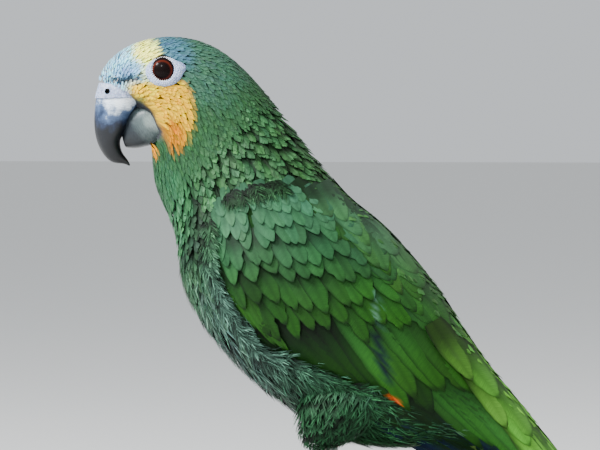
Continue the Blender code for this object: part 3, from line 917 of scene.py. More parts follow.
@dataclass(frozen=True)
class EyeFinish:
    """A wet eye: pupil, iris and rim by how far the UV map says it is from the middle of the eye."""

    name: str = "amazon_eye"

    def material(self) -> bpy.types.Material:
        """The material."""
        nodes = Nodes(self.name)
        uv = nodes.coordinates("UV")
        parts = nodes.node("ShaderNodeSeparateXYZ", {0: uv})
        fibres = nodes.noise(nodes.scaled(uv, (46.0, 5.0, 1.0)), 2.0, 3.0)
        away = nodes.math("MULTIPLY_ADD", nodes.math("SUBTRACT", fibres, 0.5), 0.012, parts.outputs[1])
        pupil = [(0.0, (2, 2, 2)), (0.158, (4, 2, 2))]
        iris = [(0.176, (44, 12, 7)), (0.208, (92, 30, 13)), (0.232, (40, 12, 8))]
        base = nodes.ramp(away, [*pupil, *iris, (0.246, (8, 5, 5))])
        nodes.set(Base_Color=nodes.blend(nodes.math("MULTIPLY", fibres, 0.5), base, (0.02, 0.01, 0.01, 1.0)))
        nodes.set(Roughness=0.4, Specular_IOR_Level=0.02, Coat_Weight=0.22, Coat_Roughness=0.02,
            Coat_IOR=1.22)
        return nodes.made


@dataclass(frozen=True)
class WoodFinish:
    """Wood or bark: streaks along one axis, over a darker ground."""

    name: str
    dark: Rgb
    light: Rgb
    stretch: Rgb
    scale: float
    roughness: float
    bump: float

    def material(self) -> bpy.types.Material:
        """The material."""
        nodes = Nodes(self.name)
        place = nodes.scaled(nodes.coordinates(), self.stretch)
        rings = nodes.noise(place, self.scale, 6.0, 0.6)
        pores = nodes.noise(place, self.scale * 5.0, 2.0)
        height = nodes.math("MULTIPLY_ADD", pores, 0.4, rings)
        low, high = ((*linear(colour), 1.0) for colour in (self.dark, self.light))
        share = nodes.math("MULTIPLY_ADD", nodes.math("SUBTRACT", height, 0.7), 2.6, 0.5)
        rough = nodes.math("MULTIPLY_ADD", pores, 0.3, self.roughness - 0.15)
        nodes.set(Base_Color=nodes.blend(share, low, high), Roughness=rough)
        nodes.bump(height, 0.6, self.bump)
        return nodes.made


@dataclass(frozen=True)
class SteelFinish:
    """Brushed steel."""

    name: str = "brushed_rod"

    def material(self) -> bpy.types.Material:
        """The material."""
        nodes = Nodes(self.name)
        brush = nodes.noise(nodes.scaled(nodes.coordinates(), (1.0, 1.0, 14.0)), 260.0, 3.0)
        tone = nodes.ramp(brush, [(0.3, (150, 150, 148)), (0.7, (206, 206, 202))])
        nodes.set(Base_Color=tone, Roughness=nodes.math("MULTIPLY_ADD", brush, 0.25, 0.2), Metallic=1.0)
        nodes.bump(brush, 0.2, 0.0001)
        return nodes.made


# --------------------------------------------------------------------------------- modelling helps


def placed(name: str, data: bpy.types.ID) -> bpy.types.Object:
    """Makes an object of some data and puts it in the scene."""
    made = bpy.data.objects.new(name, data)
    bpy.context.scene.collection.objects.link(made)
    return made


def dressed(piece: bpy.types.Object, material: bpy.types.Material) -> None:
    """Gives a piece one material in place of those it has."""
    piece.data.materials.clear()
    piece.data.materials.append(material)


def points_of(mesh: bpy.types.Mesh) -> Array:
    """A mesh's points as rows, in metres."""
    points = np.empty(len(mesh.vertices) * 3)
    mesh.vertices.foreach_get("co", points)
    return points.reshape(-1, 3)


def tinted(mesh: bpy.types.Mesh, colours: Array) -> None:
    """Gives a mesh's points their colours, in linear light."""
    layer = mesh.color_attributes.new("tint", "FLOAT_COLOR", "POINT")
    layer.data.foreach_set("color", np.hstack([colours, np.ones((len(colours), 1))]).ravel())


def deselect() -> None:
    """Deselects every object."""
    if bpy.context.object and bpy.context.object.mode != "OBJECT":
        bpy.ops.object.mode_set(mode="OBJECT")
    bpy.ops.object.select_all(action="DESELECT")


def only(piece: bpy.types.Object) -> None:
    """Selects one object and makes it active."""
    deselect()
    piece.select_set(True)
    bpy.context.view_layer.objects.active = piece


def finished(piece: bpy.types.Object, kind: str, **settings: object) -> None:
    """Adds a modifier and applies it."""
    only(piece)
    modifier = piece.modifiers.new(kind.lower(), kind)
    for key, value in settings.items():
        setattr(modifier, key, value)
    bpy.ops.object.modifier_apply(modifier=modifier.name)


def lofted(name: str, rings: Array, material: bpy.types.Material, closed: bool = True,
        levels: int = 1) -> bpy.types.Object:
    """Wraps a grid round rings of points and closes its ends.

    Args:
        name: the piece's name.
        rings: rings by points by 3, in millimetres.
        material: what dresses it.
        closed: whether the rings join up and their ends are filled.
        levels: how often it is subdivided.

    Returns:
        The piece, with its UV map going round by x and along by y.
    """
    count, around = rings.shape[:2]
    deselect()
    wrapped = np.concatenate([rings, rings[:, :1]], axis=1) if closed else rings
    bpy.ops.mesh.primitive_grid_add(x_subdivisions=wrapped.shape[1] - 1, y_subdivisions=count - 1, size=1.0)
    piece = bpy.context.object
    piece.name = piece.data.name = name
    piece.data.vertices.foreach_set("co", (wrapped * MM).ravel())
    piece.data.update()
    bpy.ops.object.mode_set(mode="EDIT")
    bpy.ops.mesh.select_all(action="SELECT")
    if closed:
        bpy.ops.mesh.remove_doubles(threshold=1e-7)
        bpy.ops.mesh.select_all(action="DESELECT")
        bpy.ops.mesh.select_mode(type="EDGE")
        bpy.ops.mesh.select_non_manifold(extend=False)
        bpy.ops.mesh.fill_holes(sides=0)
        bpy.ops.mesh.select_all(action="SELECT")
    bpy.ops.mesh.normals_make_consistent(inside=False)
    bpy.ops.mesh.faces_shade_smooth()
    bpy.ops.object.mode_set(mode="OBJECT")
    if levels:
        finished(piece, "SUBSURF", levels=levels, render_levels=levels)
    dressed(piece, material)
    LOG.info("%s: %d faces", name, len(piece.data.polygons))
    return piece


def mirrored(piece: bpy.types.Object, name: str) -> bpy.types.Object:
    """Copies a left-hand piece to the bird's right.

    Args:
        piece: the left-hand piece.
        name: the copy's name.

    Returns:
        The copy, with a mesh of its own.
    """
    made = placed(name, piece.data.copy())
    made.data.name = name
    points = points_of(made.data)
    points[:, 0] *= -1.0
    made.data.vertices.foreach_set("co", points.ravel())
    made.data.flip_normals()
    made.data.update()
    return made


def joined(pieces: list[bpy.types.Object], name: str) -> bpy.types.Object:
    """Joins objects into one and names it."""
    deselect()
    for piece in pieces:
        piece.select_set(True)
    bpy.context.view_layer.objects.active = pieces[0]
    bpy.ops.object.join()
    made = bpy.context.object
    made.name = made.data.name = name
    return made


def settled(piece: bpy.types.Object, slot: str, *nodes: str) -> None:
    """Rides a piece on the body and hides the nodes that it stands for."""
    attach(piece, "root")
    if nodes:
        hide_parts(*nodes)


# ---------------------------------------------------------------------------------------- the bird


@dataclass
class FaceEdge:
    """Where feathers end and beak begins, on the side plane."""

    line: tuple[Pair, ...] = (
        (-112.0, 230.2), (-90.0, 229.8), (-86.0, 229.4), (-80.1, 227.8), (-77.4, 225.8), (-74.8, 223.8),
        (-71.4, 222.1),
        (-69.1, 220.1), (-67.8, 216.8), (-66.8, 214.2), (-65.0, 211.6), (-66.5, 208.6), (-70.0, 207.2),
        (-74.5, 205.5),
        (-112.0, 205.5),
    )

    def inside(self, y: Array, z: Array) -> Array:
        """How far each place lies on the beak's side of the edge; less than 0 on the feathers' side."""
        line = np.array(self.line)
        return np.where(enclosed(line, y, z), 1.0, -1.0) * away_from(line, y, z)


@dataclass
class Skin:
    """One skin over head, neck, trunk and thighs, drawn in by the coat's depth."""

    body: BodyForm
    plumage: Plumage
    face: FaceEdge
    voxel: float = 1.3
    depth: float = 2.6
    nodes: tuple[str, ...] = ("head", "neck", "trunk", "thigh_L", "thigh_R")

    def build(self, frame: dict) -> bpy.types.Object:
        """Makes the skin from copies of the solids.

        Args:
            frame: the loaded frame.

        Returns:
            The piece.
        """
        copies = [placed("skin_" + name, frame["nodes"][name].data.copy()) for name in self.nodes]
        skin = joined(copies, "skin")
        bpy.ops.object.mode_set(mode="EDIT")
        bpy.ops.mesh.select_all(action="SELECT")
        bpy.ops.mesh.remove_doubles(threshold=1e-6)
        bpy.ops.object.mode_set(mode="OBJECT")
        finished(skin, "REMESH", mode="VOXEL", voxel_size=self.voxel * MM)
        finished(skin, "DISPLACE", strength=-self.depth * MM, mid_level=0.0)
        finished(skin, "SMOOTH", factor=0.5, iterations=8)
        self.narrow(skin)
        only(skin)
        bpy.ops.object.shade_smooth()
        self.tint(skin)
        dressed(skin, SkinFinish().material())
        settled(skin, "green_feather", *self.nodes)
        LOG.info("skin: %d faces", len(skin.data.polygons))
        return skin

    def narrow(self, skin: bpy.types.Object) -> None:
        """Narrows the skin where the beak grows out of it."""
        points = points_of(skin.data)
        flat = self.body.turned(points / MM, -1.0)
        share = smooth((self.face.inside(flat[:, 1], flat[:, 2]) + 1.0) / 2.5)
        flat[:, 0] *= 1.0 - 0.5 * share
        moved = self.body.turned(flat) * MM
        points = np.where((share > 0.0)[:, None], moved, points)
        skin.data.vertices.foreach_set("co", points.ravel())
        skin.data.update()

    def tint(self, skin: bpy.types.Object) -> None:
        """Gives the skin the coat's markings, and a dark grey where the beak grows out of it: partly the
        gape's own skin and partly painted shade in the gap between the mandibles.
        """
        points = points_of(skin.data) / MM
        away = self.body.turned(points, -1.0)
        share = smooth((points[:, 2] - 170.0) / 30.0)
        flat = between((points, away), share[:, None])
        colours = self.plumage.colour(flat[:, 1], flat[:, 2])
        # dark grey by the beak: partly the gape's skin, partly painted shade between the mandibles
        gape_and_shade = smooth((self.face.inside(flat[:, 1], flat[:, 2]) + 0.5) / 1.0) * (points[:, 2] > 204.0)
        tinted(skin.data, mix(colours, linear((40, 44, 52))[None], gape_and_shade))


@dataclass
class Tract:
    """A part of the body whose feathers are alike."""

    name: str
    s_span: Pair
    a_span: Pair
    spacing: float
    length: Pair
    width: Pair
    cut: Cut
    lift: Pair = (-2.2, 0.6)
    camber: float = 0.3
    unruly: float = 8.0  # degrees
    uneven: float = 0.12
    tip: Rgb = (1.0, 1.0, 1.0)  # the tip's colour as a share of the root's
    # root: painted shade at the root, partly real darker bases and partly shade under the feathers over them
    root: float = 0.16  # how light the root is, as a share of the tip
    seed: int = 1


TRACTS = (
    Tract("head_coat", (-0.1, 4.7), (-90, 270), 0.92, (2.8, 6.6), (1.3, 2.0),
          BarbCut(3, 2, 0.4, 1.0, 0.06, 0.6, 2.0, 0.12), (-0.6, 0.0), 0.12, 5.0, 0.08, root=0.85, seed=3),
    Tract("neck_coat", (4.2, 7.9), (-90, 270), 2.3, (9.5, 13.0), (3.6, 5.2),
          BarbCut(7, 2, 0.4, 0.9, 0.06, 0.5, 2.0, 0.24), (-2.0, 0.3), 0.6, 9.0, 0.15, (1.25, 1.25, 1.2), 0.2,
          5),
    Tract("breast_coat", (6.2, 11.4), (-104, 24), 2.9, (13.0, 17.0), (6.5, 8.5),
          StrandCut(15, 0.062, 0.7), (-2.4, 0.8), 0.3, 17.0, 0.18, (1.9, 1.85, 1.85), 0.04, 7),
    Tract("back_coat", (6.8, 12.7), (40, 140), 4.0, (18.0, 44.0), (6.0, 7.0),
          BarbCut(9, 2, 0.22, 0.96, 0.05, 0.5, 2.4, 0.16), (-2.2, 0.7), 0.8, 5.0, 0.2, (1.2, 1.25, 1.1),
          0.12, 9),
    Tract("vent_coat", (10.9, 12.9), (-104, 20), 4.2, (16.0, 24.0), (8.0, 9.0),
          BarbCut(9, 2, 0.4, 0.8, 0.12, 0.5, 2.6, 0.16), (-2.2, 0.6), 0.4, 10.0, 0.12, (1.1, 1.1, 1.0), 0.15,
          11),
)


@dataclass
class BodyCoat:
    """The contour feathers of head, neck, breast, back and rump."""

    UNDER = -104  # the first angle of a tract that lies on one side and is repeated on the other

    body: BodyForm
    plumage: Plumage
    face: "FaceEdge"
    wing: "Wing"
    eye: Pair = (-64.6, 236.2)
    tracts: tuple[Tract, ...] = TRACTS

    def allowed(self, tract: Tract, s: Array, a: Array) -> Array:
        """Whether a root may stand at each place: clear of eye ring and beak."""
        y, z = self.body.side_plane(s, a)
        left = np.where(np.cos(a) >= 0.0, a, math.pi - a)
        if tract.name != "head_coat":
            ahead = {"vent_coat": (0.15, 0.5, 0.9, 1.3), "back_coat": (0.15, 0.5, 0.9)}.get(tract.name,
                (0.15,))
            return ~np.any([self.wing.covers(s + step, left) for step in ahead], axis=0)
        ring = np.hypot((y - self.eye[0]) / 6.8, (z - self.eye[1]) / 5.1) > 1.0
        return ring & (self.face.inside(y, z) < 0.0)

    def build(self) -> None:
        """Makes one piece for each tract."""
        for tract in self.tracts:
            rng = np.random.default_rng(tract.seed)
            low, high = tract.a_span
            spans = [(low, high)]
            if low == self.UNDER:
                spans.append((180 - high, 180 - low))
            vanes = Vanes(tract.name)
            plumes = [tract.cut.plume(rng) for _ in range(10)]
            for span in spans:
                s, a = scattered(self.body, tract.s_span, span, lambda s, a: np.full(s.shape, tract.spacing),
                    rng)
                keep = self.allowed(tract, s, a)
                s, a = s[keep], a[keep]
                vanes.lay(self.body, self.roots(tract, s, a, rng), plumes, rng)
            piece = vanes.build(PlumageFinish(tract.name + "_plumage"))
            settled(piece, "breast_feather" if tract.name in ("breast_coat", "vent_coat")
                else "green_feather")

    def roots(self, tract: Tract, s: Array, a: Array, rng: np.random.Generator) -> Roots:
        """Sizes and colours the feathers of a tract.

        Args:
            tract: the tract.
            s: the roots' places along the body.
            a: the roots' places round it.
            rng: the source of their unevenness.

        Returns:
            The feathers.
        """
        share = (s - tract.s_span[0]) / (tract.s_span[1] - tract.s_span[0])
        y, z = self.body.side_plane(s, a)
        length = between(tract.length, share)
        width = between(tract.width, share)
        front = np.zeros(s.size)
        if tract.name == "head_coat":
            length = length * (0.55 + 0.45 * smooth((y + 84.0) / 16.0))
            front = 1.4 * smooth(1.0 - s) * smooth((z - 226.0) / 6.0)
        colour = self.plumage.colour(y, z) * rng.normal(1.0, tract.uneven, s.size)[:, None]
        hue = rng.normal(0.0, 0.06, (s.size, 3))
        colour = np.clip(colour * (1.0 + hue), 0.002, 1.0)
        per = np.ones(s.size)
        return Roots(
            s, a, np.radians(rng.normal(0.0, tract.unruly, s.size)),
            length * rng.normal(1.0, 0.09, s.size), width * rng.normal(1.0, 0.08, s.size),
            per * tract.lift[0] + front, tract.lift[1] * rng.normal(1.0, 0.3, s.size) + front,
            per * tract.camber,
            colour, colour * np.array(tract.tip),
            np.stack([0.02 + 0.95 * (a + math.pi * 0.6) / (2.25 * math.pi),
                0.03 + 0.95 * s / self.body.last], axis=-1),
            per * tract.root,
        )


@dataclass
class ThighCoat:
    """The loose strands of the thighs."""

    plumage: Plumage
    cut: Cut = StrandCut(14)

    def build(self) -> None:
        """Makes both thighs' coats as one piece."""
        rng = np.random.default_rng(21)
        vanes = Vanes("thigh_coat")
        plumes = [self.cut.plume(rng) for _ in range(8)]
        for side in Side:
            form = ThighForm(side)
            s, a = scattered(form, (0.3, 3.5), (-180, 180), lambda s, a: np.full(s.shape, 2.8), rng)
            spot = form.point(s, a, 0.0)
            colour = self.plumage.colour(spot[:, 1], spot[:, 2]) * rng.normal(1.0, 0.18, s.size)[:, None]
            per = np.ones(s.size)
            place = np.stack(
                [0.02 + 0.46 * ((a + math.pi) / (2.0 * math.pi) + (side is Side.LEFT)), 0.02 + 0.2 * s],
                axis=-1)
            roots = Roots(
                s, a, np.radians(rng.normal(10.0, 14.0, s.size)),
                (14.0 - 2.0 * s) * rng.normal(1.0, 0.1, s.size),
                per * 7.0, per * -2.2, rng.normal(1.0, 0.3, s.size), per * 0.3, colour, colour * 1.5, place,
                # painted shade at the roots, partly real darker bases and partly shade under the strands over
                # them
                per * 0.12,
            )
            vanes.lay(form, roots, plumes, rng)
        settled(vanes.build(PlumageFinish("thigh_plumage")), "breast_feather")


@dataclass(frozen=True)
class FeatherRow:
    """A row of wing feathers with roots between two side-plane points; pairs go from front to back."""

    name: str
    count: int
    front: Pair
    back: Pair
    length: Pair
    width: Pair
    down: Pair  # degrees below level that they point
    lift: Pair  # at root and tip, over the body
    colour: Rgb
    end_colour: Rgb
    bow: float = 0.0  # how far the row's middle is raised
    cut: Cut = VaneCut()
    sag: float = 0.0  # how far the tip bends down from the straight
    roll: float = 0.35
    uneven: float = 0.12


def covert_cut(rows: int, blunt: float, rim: float, splits: int) -> VaneCut:
    """The cut of a covert or a scapular."""
    return VaneCut(rows, 7, 0.6, blunt, 0.4, rim, splits)


def quill_cut(rows: int, blunt: float, rim: float, splits: int) -> VaneCut:
    """The cut of a long wing feather."""
    return VaneCut(rows, 7, 0.7, blunt, 0.3, rim, splits)


LESSER_CUT = VaneCut(7, 5, 0.6, 2.0, 0.4, 0.22, 0)
WING_ROWS = (
    FeatherRow("primary", 13, (-27.0, 133.0), (36.0, 130.0), (152.0, 112.0), (11.0, 12.0), (31.5, 43.5),
        (0.4, 1.0),
               (20, 56, 15), (7, 25, 13), cut=quill_cut(26, 5.0, 0.45, 2), sag=5.0),
    FeatherRow("secondary", 10, (-28.0, 141.0), (16.0, 152.0), (44.0, 58.0), (12.5, 14.0), (43.0, 58.0),
        (1.0, 2.2),
               (13, 44, 8), (16, 48, 6), cut=quill_cut(20, 3.6, 0.55, 2), sag=4.0),
    FeatherRow("tertial", 6, (6.0, 152.0), (34.0, 150.0), (58.0, 50.0), (13.0, 14.0), (58.0, 54.0),
        (2.0, 3.0),
               (40, 94, 38), (29, 70, 13), 3.0, cut=quill_cut(18, 3.0, 0.55, 1), sag=1.5),
    FeatherRow("tertial_long", 7, (18.0, 138.0), (50.0, 127.0), (66.0, 66.0), (11.5, 12.0), (47.0, 49.5),
        (1.4, 2.2),
               (28, 74, 26), (32, 82, 22), 1.0, quill_cut(18, 3.0, 0.5, 1), sag=1.5),
    FeatherRow("edge_covert", 5, (-40.5, 167.0), (-32.0, 158.0), (38.0, 44.0), (5.5, 6.5), (66.0, 60.0),
        (1.8, 3.4),
               (31, 78, 20), (28, 70, 14), cut=VaneCut(14, 7, 0.6, 3.0, 0.3, 0.5, 1), sag=-3.0),
    FeatherRow("greater_covert", 12, (-34.0, 154.0), (24.0, 158.0), (24.0, 27.0), (9.5, 11.0), (63.0, 60.0),
               (1.6, 3.6), (20, 57, 20), (22, 60, 11), 0.0, covert_cut(12, 2.4, 0.6, 2)),
    FeatherRow("greater_covert_b", 11, (-35.0, 160.0), (26.0, 163.0), (20.0, 25.0), (9.5, 11.5), (65.0, 60.0),
               (2.0, 4.0), (25, 64, 28), (25, 65, 18), 1.0, covert_cut(11, 2.3, 0.6, 1)),
    FeatherRow("median_covert", 11, (-36.5, 165.5), (21.0, 170.0), (16.0, 21.0), (9.0, 11.5), (68.0, 58.0),
               (2.2, 4.4), (34, 73, 44), (32, 72, 34), 2.0, covert_cut(10, 2.2, 0.55, 1)),
    FeatherRow("median_covert_b", 11, (-38.0, 170.0), (16.0, 176.0), (13.0, 18.0), (8.0, 11.0), (70.0, 58.0),
               (2.4, 4.7), (39, 78, 51), (35, 76, 44), 2.0, covert_cut(9, 2.2, 0.5, 1)),
    FeatherRow("lesser_covert_e", 13, (-39.0, 173.5), (10.0, 181.0), (10.5, 14.0), (6.5, 9.0), (72.0, 60.0),
               (2.6, 4.9), (46, 90, 62), (43, 87, 56), 2.5, LESSER_CUT),
    FeatherRow("lesser_covert_d", 13, (-40.0, 177.5), (5.0, 184.5), (9.0, 12.0), (5.5, 8.0), (74.0, 60.0),
               (2.6, 5.0), (49, 92, 66), (46, 90, 61), 3.0, LESSER_CUT),
    FeatherRow("lesser_covert_c", 13, (-40.5, 181.5), (0.0, 188.0), (8.0, 10.0), (5.0, 7.0), (76.0, 60.0),
               (2.4, 4.9), (54, 99, 72), (50, 97, 66), 3.0, LESSER_CUT),
    FeatherRow("lesser_covert_b", 12, (-39.5, 185.0), (-5.0, 190.5), (7.5, 9.0), (5.0, 6.5), (78.0, 60.0),
               (1.8, 4.5), (55, 100, 73), (53, 99, 69), 2.5, LESSER_CUT),
    FeatherRow("lesser_covert_a", 9, (-36.0, 188.5), (-11.0, 193.0), (7.0, 8.0), (4.8, 6.0), (80.0, 62.0),
               (1.0, 4.0), (50, 96, 68), (50, 95, 66), 2.0, LESSER_CUT),
    # scapular_edge: darker green than the rows above, as painted shade along the wing's back edge
    FeatherRow("scapular_edge", 11, (-9.0, 192.5), (46.0, 138.0), (21.0, 26.0), (8.5, 10.0), (47.0, 55.0),
               (2.6, 4.4), (36, 76, 40), (30, 72, 24), 0.6, covert_cut(11, 2.6, 0.6, 2)),
    FeatherRow("scapular_low", 6, (12.0, 182.0), (36.0, 157.0), (30.0, 30.0), (9.5, 11.0), (57.0, 54.0),
               (2.8, 4.6), (40, 82, 43), (35, 80, 23), 1.0, covert_cut(13, 2.6, 0.6, 2)),
    FeatherRow("scapular_mid", 6, (4.0, 188.0), (26.0, 172.0), (24.0, 26.0), (9.5, 11.0), (56.0, 53.0),
               (3.4, 5.6), (52, 93, 60), (45, 90, 42), 1.0, covert_cut(11, 2.4, 0.55, 1)),
    FeatherRow("scapular_high", 6, (-6.0, 193.5), (16.0, 180.5), (20.0, 22.0), (9.0, 10.0), (54.0, 52.0),
               (3.4, 5.6), (55, 97, 66), (51, 94, 56), 1.0, covert_cut(10, 2.4, 0.55, 1)),
    FeatherRow("rump_covert", 9, (47.0, 137.0), (88.0, 86.0), (30.0, 34.0), (10.0, 9.0), (54.0, 52.0),
        (8.0, 13.0),
               (72, 128, 40), (84, 146, 48), 0.0, quill_cut(14, 3.0, 0.6, 1)),
)


@dataclass
class Wing:
    """A folded wing: an underlay, then rows of feathers from the primaries up to the scapulars."""

    body: BodyForm
    thickness: float = 4.2
    tip_thickness: float = 1.6
    seat: float = 0.9
    edges: list = field(
        default_factory=lambda: [
            ((-42.0, 172.0), (-37.5, 184.0)),
            ((-38.5, 163.5), (-25.0, 190.0)),
            ((-33.5, 146.0), (-8.0, 189.0)),
            ((-23.0, 131.0), (9.0, 178.5)),
            ((-4.0, 122.5), (25.0, 164.0)),
            ((20.0, 110.0), (42.0, 144.5)),
            ((44.0, 98.5), (57.5, 123.5)),
            ((70.0, 82.5), (76.5, 99.5)),
            ((96.0, 64.0), (98.0, 73.0)),
            ((116.5, 50.2), (117.6, 52.0)),
        ]
    )
    rows: tuple[FeatherRow, ...] = WING_ROWS
    streaks: tuple = (  # line, half-width, colour
        (((28.4, 107.8), (33.4, 104.8)), 0.75, (196, 76, 22)),
        (((24.4, 133.0), (29.0, 115.0)), 1.9, (9, 24, 34)),
        (((24.4, 149.0), (25.4, 134.0)), 0.7, (52, 88, 70)),
        (((46.5, 134.5), (55.0, 122.0)), 0.5, (116, 140, 120)),
    )

    def __post_init__(self) -> None:
        """Finds the edges on the body."""
        places = []
        for low, high in self.edges:
            found = [self.body.locate(np.array([y]), np.array([z]), 4.0, self.body.last)[:2] for y,
                z in (low, high)]
            places.append([float(value[0]) for pair in found for value in pair])
        self.path = Curve(places)
        self.low_edge, self.high_edge = (np.array([pair[k] for pair in self.edges]) for k in (0, 1))
        rims = self.path(np.linspace(0.0, len(self.edges) - 1.0, 80))
        self.rim = np.concatenate([rims[:, :2], rims[::-1, 2:]])

    def covers(self, s: Array, a: Array) -> Array:
        """Whether the wing lies over each place of the body's left side."""
        return enclosed(self.rim, s, a)

    def cover(self, y: Array, z: Array) -> Array:
        """How much of the wing's thickness lies under each side-plane point: less near its edges."""
        inside = np.where(enclosed(np.concatenate([self.low_edge, self.high_edge[::-1]]), y, z), 1.0, -1.0)
        low = 0.3 + 0.7 * smooth(away_from(self.low_edge, y, z) / 9.0)
        return low * (0.1 + 0.9 * smooth(inside * away_from(self.high_edge, y, z) / 26.0))

    def underlay(self) -> bpy.types.Object:
        """The smooth bed under the feathers, dark green as painted shade where it shows between them."""
        last = len(self.edges) - 1.0
        t, u = np.linspace(0.0, last, 60), np.linspace(0.0, 1.0, 15)
        low_s, low_a, high_s, high_a = (column[:, None] for column in self.path(t).T)
        thick = between((self.thickness, self.tip_thickness), smooth(t / last)[:, None])
        crest = (np.sin(math.pi * u) ** 0.45 * (1.0 - 0.8 * smooth((u - 0.3) / 0.6)))[None]
        rise = self.seat - 1.9 + (thick - 0.6) * (0.2 + 0.8 * crest) * smooth(t / 2.0)[:, None]
        points = self.body.point(between((low_s, high_s), u), between((low_a, high_a), u), rise)
        # dark green: painted shade in the gaps between the wing's feathers
        finish = BareSkinFinish("wing_bed", (16, 38, 16), (26, 56, 24), 400.0, 0.0002, 0.95, 0.05)
        return lofted("wing_bed_L", points, finish.material(), closed=False, levels=0)

    def feathers(self) -> Vanes:
        """Lays every row of the left wing."""
        rng = np.random.default_rng(31)
        vanes = Vanes("wing_coat_L")
        tiles = 0
        for row in self.rows:
            long = row.length[0] > 35.0
            for i in range(row.count):
                share = min((i + 0.5 * (self.rows.index(row) % 2)) / max(row.count - 1, 1), 1.0)
                root = between((np.array(row.front), np.array(row.back)), share)
                root[1] += row.bow * math.sin(math.pi * share)
                small = row.name.startswith("lesser")
                root += rng.normal(0.0, 0.3 if long else 1.2 if small else 0.8, 2)
                down = between(row.down, share) + rng.normal(0.0, 1.0 if long else 7.0 if small else 3.5)
                length = between(row.length, share) * rng.normal(1.0, 0.02 if long else 0.09)
                width = between(row.width, share)
                plume = row.cut.plume(rng)
                points = self.vane(plume, root, down, length, width, row, share)
                colours = self.tint(row, plume, share, points, rng)
                if long:
                    place, patch = np.array([[0.52 + 0.0108 * tiles, 0.02]]), (0.0098, 0.95)
                    tiles += 1
                else:
                    place, patch = np.array(
                        [[0.02 + 0.45 * (root[0] + 60.0) / 100.0, 0.02 + 0.9 * (root[1] - 120.0) / 90.0]]), (
                        0.006, 0.006)
                vanes.add(points[None], plume, colours[None], np.array([length]), place, patch)
        return vanes

    def vane(self, plume: Plume, root: Array, down: float, length: float, width: float, row: FeatherRow,
            share: float) -> Array:
        """Places one feather over the wing.

        Args:
            plume: its pattern.
            root: its root on the side plane.
            down: degrees below level that it points.
            length: its length.
            width: its width.
            row: the row it is in.
            share: how far along the row it is.

        Returns:
            Its points.
        """
        angle = math.radians(down)
        ahead, aside = plume.f * length, plume.g * width / 2.0
        bend = row.sag * plume.f**2
        y = root[0] + ahead * math.cos(angle) + aside * math.sin(angle) - bend * math.sin(angle)
        z = root[1] - ahead * math.sin(angle) + aside * math.cos(angle) - bend * math.cos(angle)
        rise = between(row.lift, np.clip(plume.f, 0.0, 1.1) ** 1.1)
        thin = 1.0 - 0.62 * smooth((y - 20.0) / 80.0)
        cover = self.cover(y, z)
        rise = rise * cover * thin - (row.roll * plume.g - 0.35 * share) * cover - 0.25 * plume.g**2
        return self.body.on_side(y, z, rise, (4.0, 14.3))

    def tint(self, row: FeatherRow, plume: Plume, share: float, points: Array,
            rng: np.random.Generator) -> Array:
        """Colours one feather: its row's colours, the blue webs of the quills, the wing's streaks and painted
        shade towards its root.
        """
        f, g = np.clip(plume.f, 0.0, 1.0), plume.g
        base = mix(linear(row.colour)[None], linear(row.end_colour)[None], smooth(f))
        if row.name == "primary":
            outer = smooth((-0.2 - g) / 0.3)
            base = mix(base, linear((16, 30, 62))[None],
                0.8 * outer * smooth((f - 0.3) / 0.2) * (1.0 - smooth((f - 0.8) / 0.15)))
        if row.name == "secondary":
            base = mix(base, linear((22, 44, 96))[None],
                0.85 * smooth((f - 0.86) / 0.1) * smooth((0.5 - share) / 0.2))
        if row.name == "tertial":
            base = mix(base, linear((28, 60, 30))[None], 0.5 * smooth((g - 0.2) / 0.5))
        for line, reach, colour in self.streaks:
            away = away_from(np.array(line), points[:, 1], points[:, 2]) / reach
            base = mix(base, linear(colour)[None], 0.95 * (1.0 - smooth((away - 0.7) / 0.5)))
        shaft = 1.0 - 0.25 * np.exp(-((g / 0.08) ** 2))
        # painted shade towards the root, lighter on the lesser coverts: partly real darker bases, partly
        # shade under the feathers over them
        root = 0.62 if row.name.startswith("lesser") else 0.3
        depth = between((root, 1.0), smooth((f - 0.2) / 0.5))
        tone = plume.tone * math.exp(rng.normal(0.0, row.uneven)) * shaft * depth
        if row.name.startswith("greater"):
            tone = tone * (0.62 + 1.1 * share)
        if row.name == "rump_covert":
            tone = tone * (0.6 + 0.5 * share)
        return np.clip(base * tone[:, None] * (1.0 + rng.normal(0.0, 0.04, 3)), 0.002, 1.0)

    def build(self) -> None:
        """Makes both wings."""
        coat = self.feathers().build(PlumageFinish("wing_plumage", 0.6, 0.3, 0.1))
        bed = self.underlay()
        for side in Side:
            if side is Side.LEFT:
                pieces = coat, bed
            else:
                pieces = mirrored(coat, "wing_coat_R"), mirrored(bed, "wing_bed_R")
            settled(pieces[0], "wing_feather", "wing_" + side.letter)
            settled(pieces[1], "wing_feather")


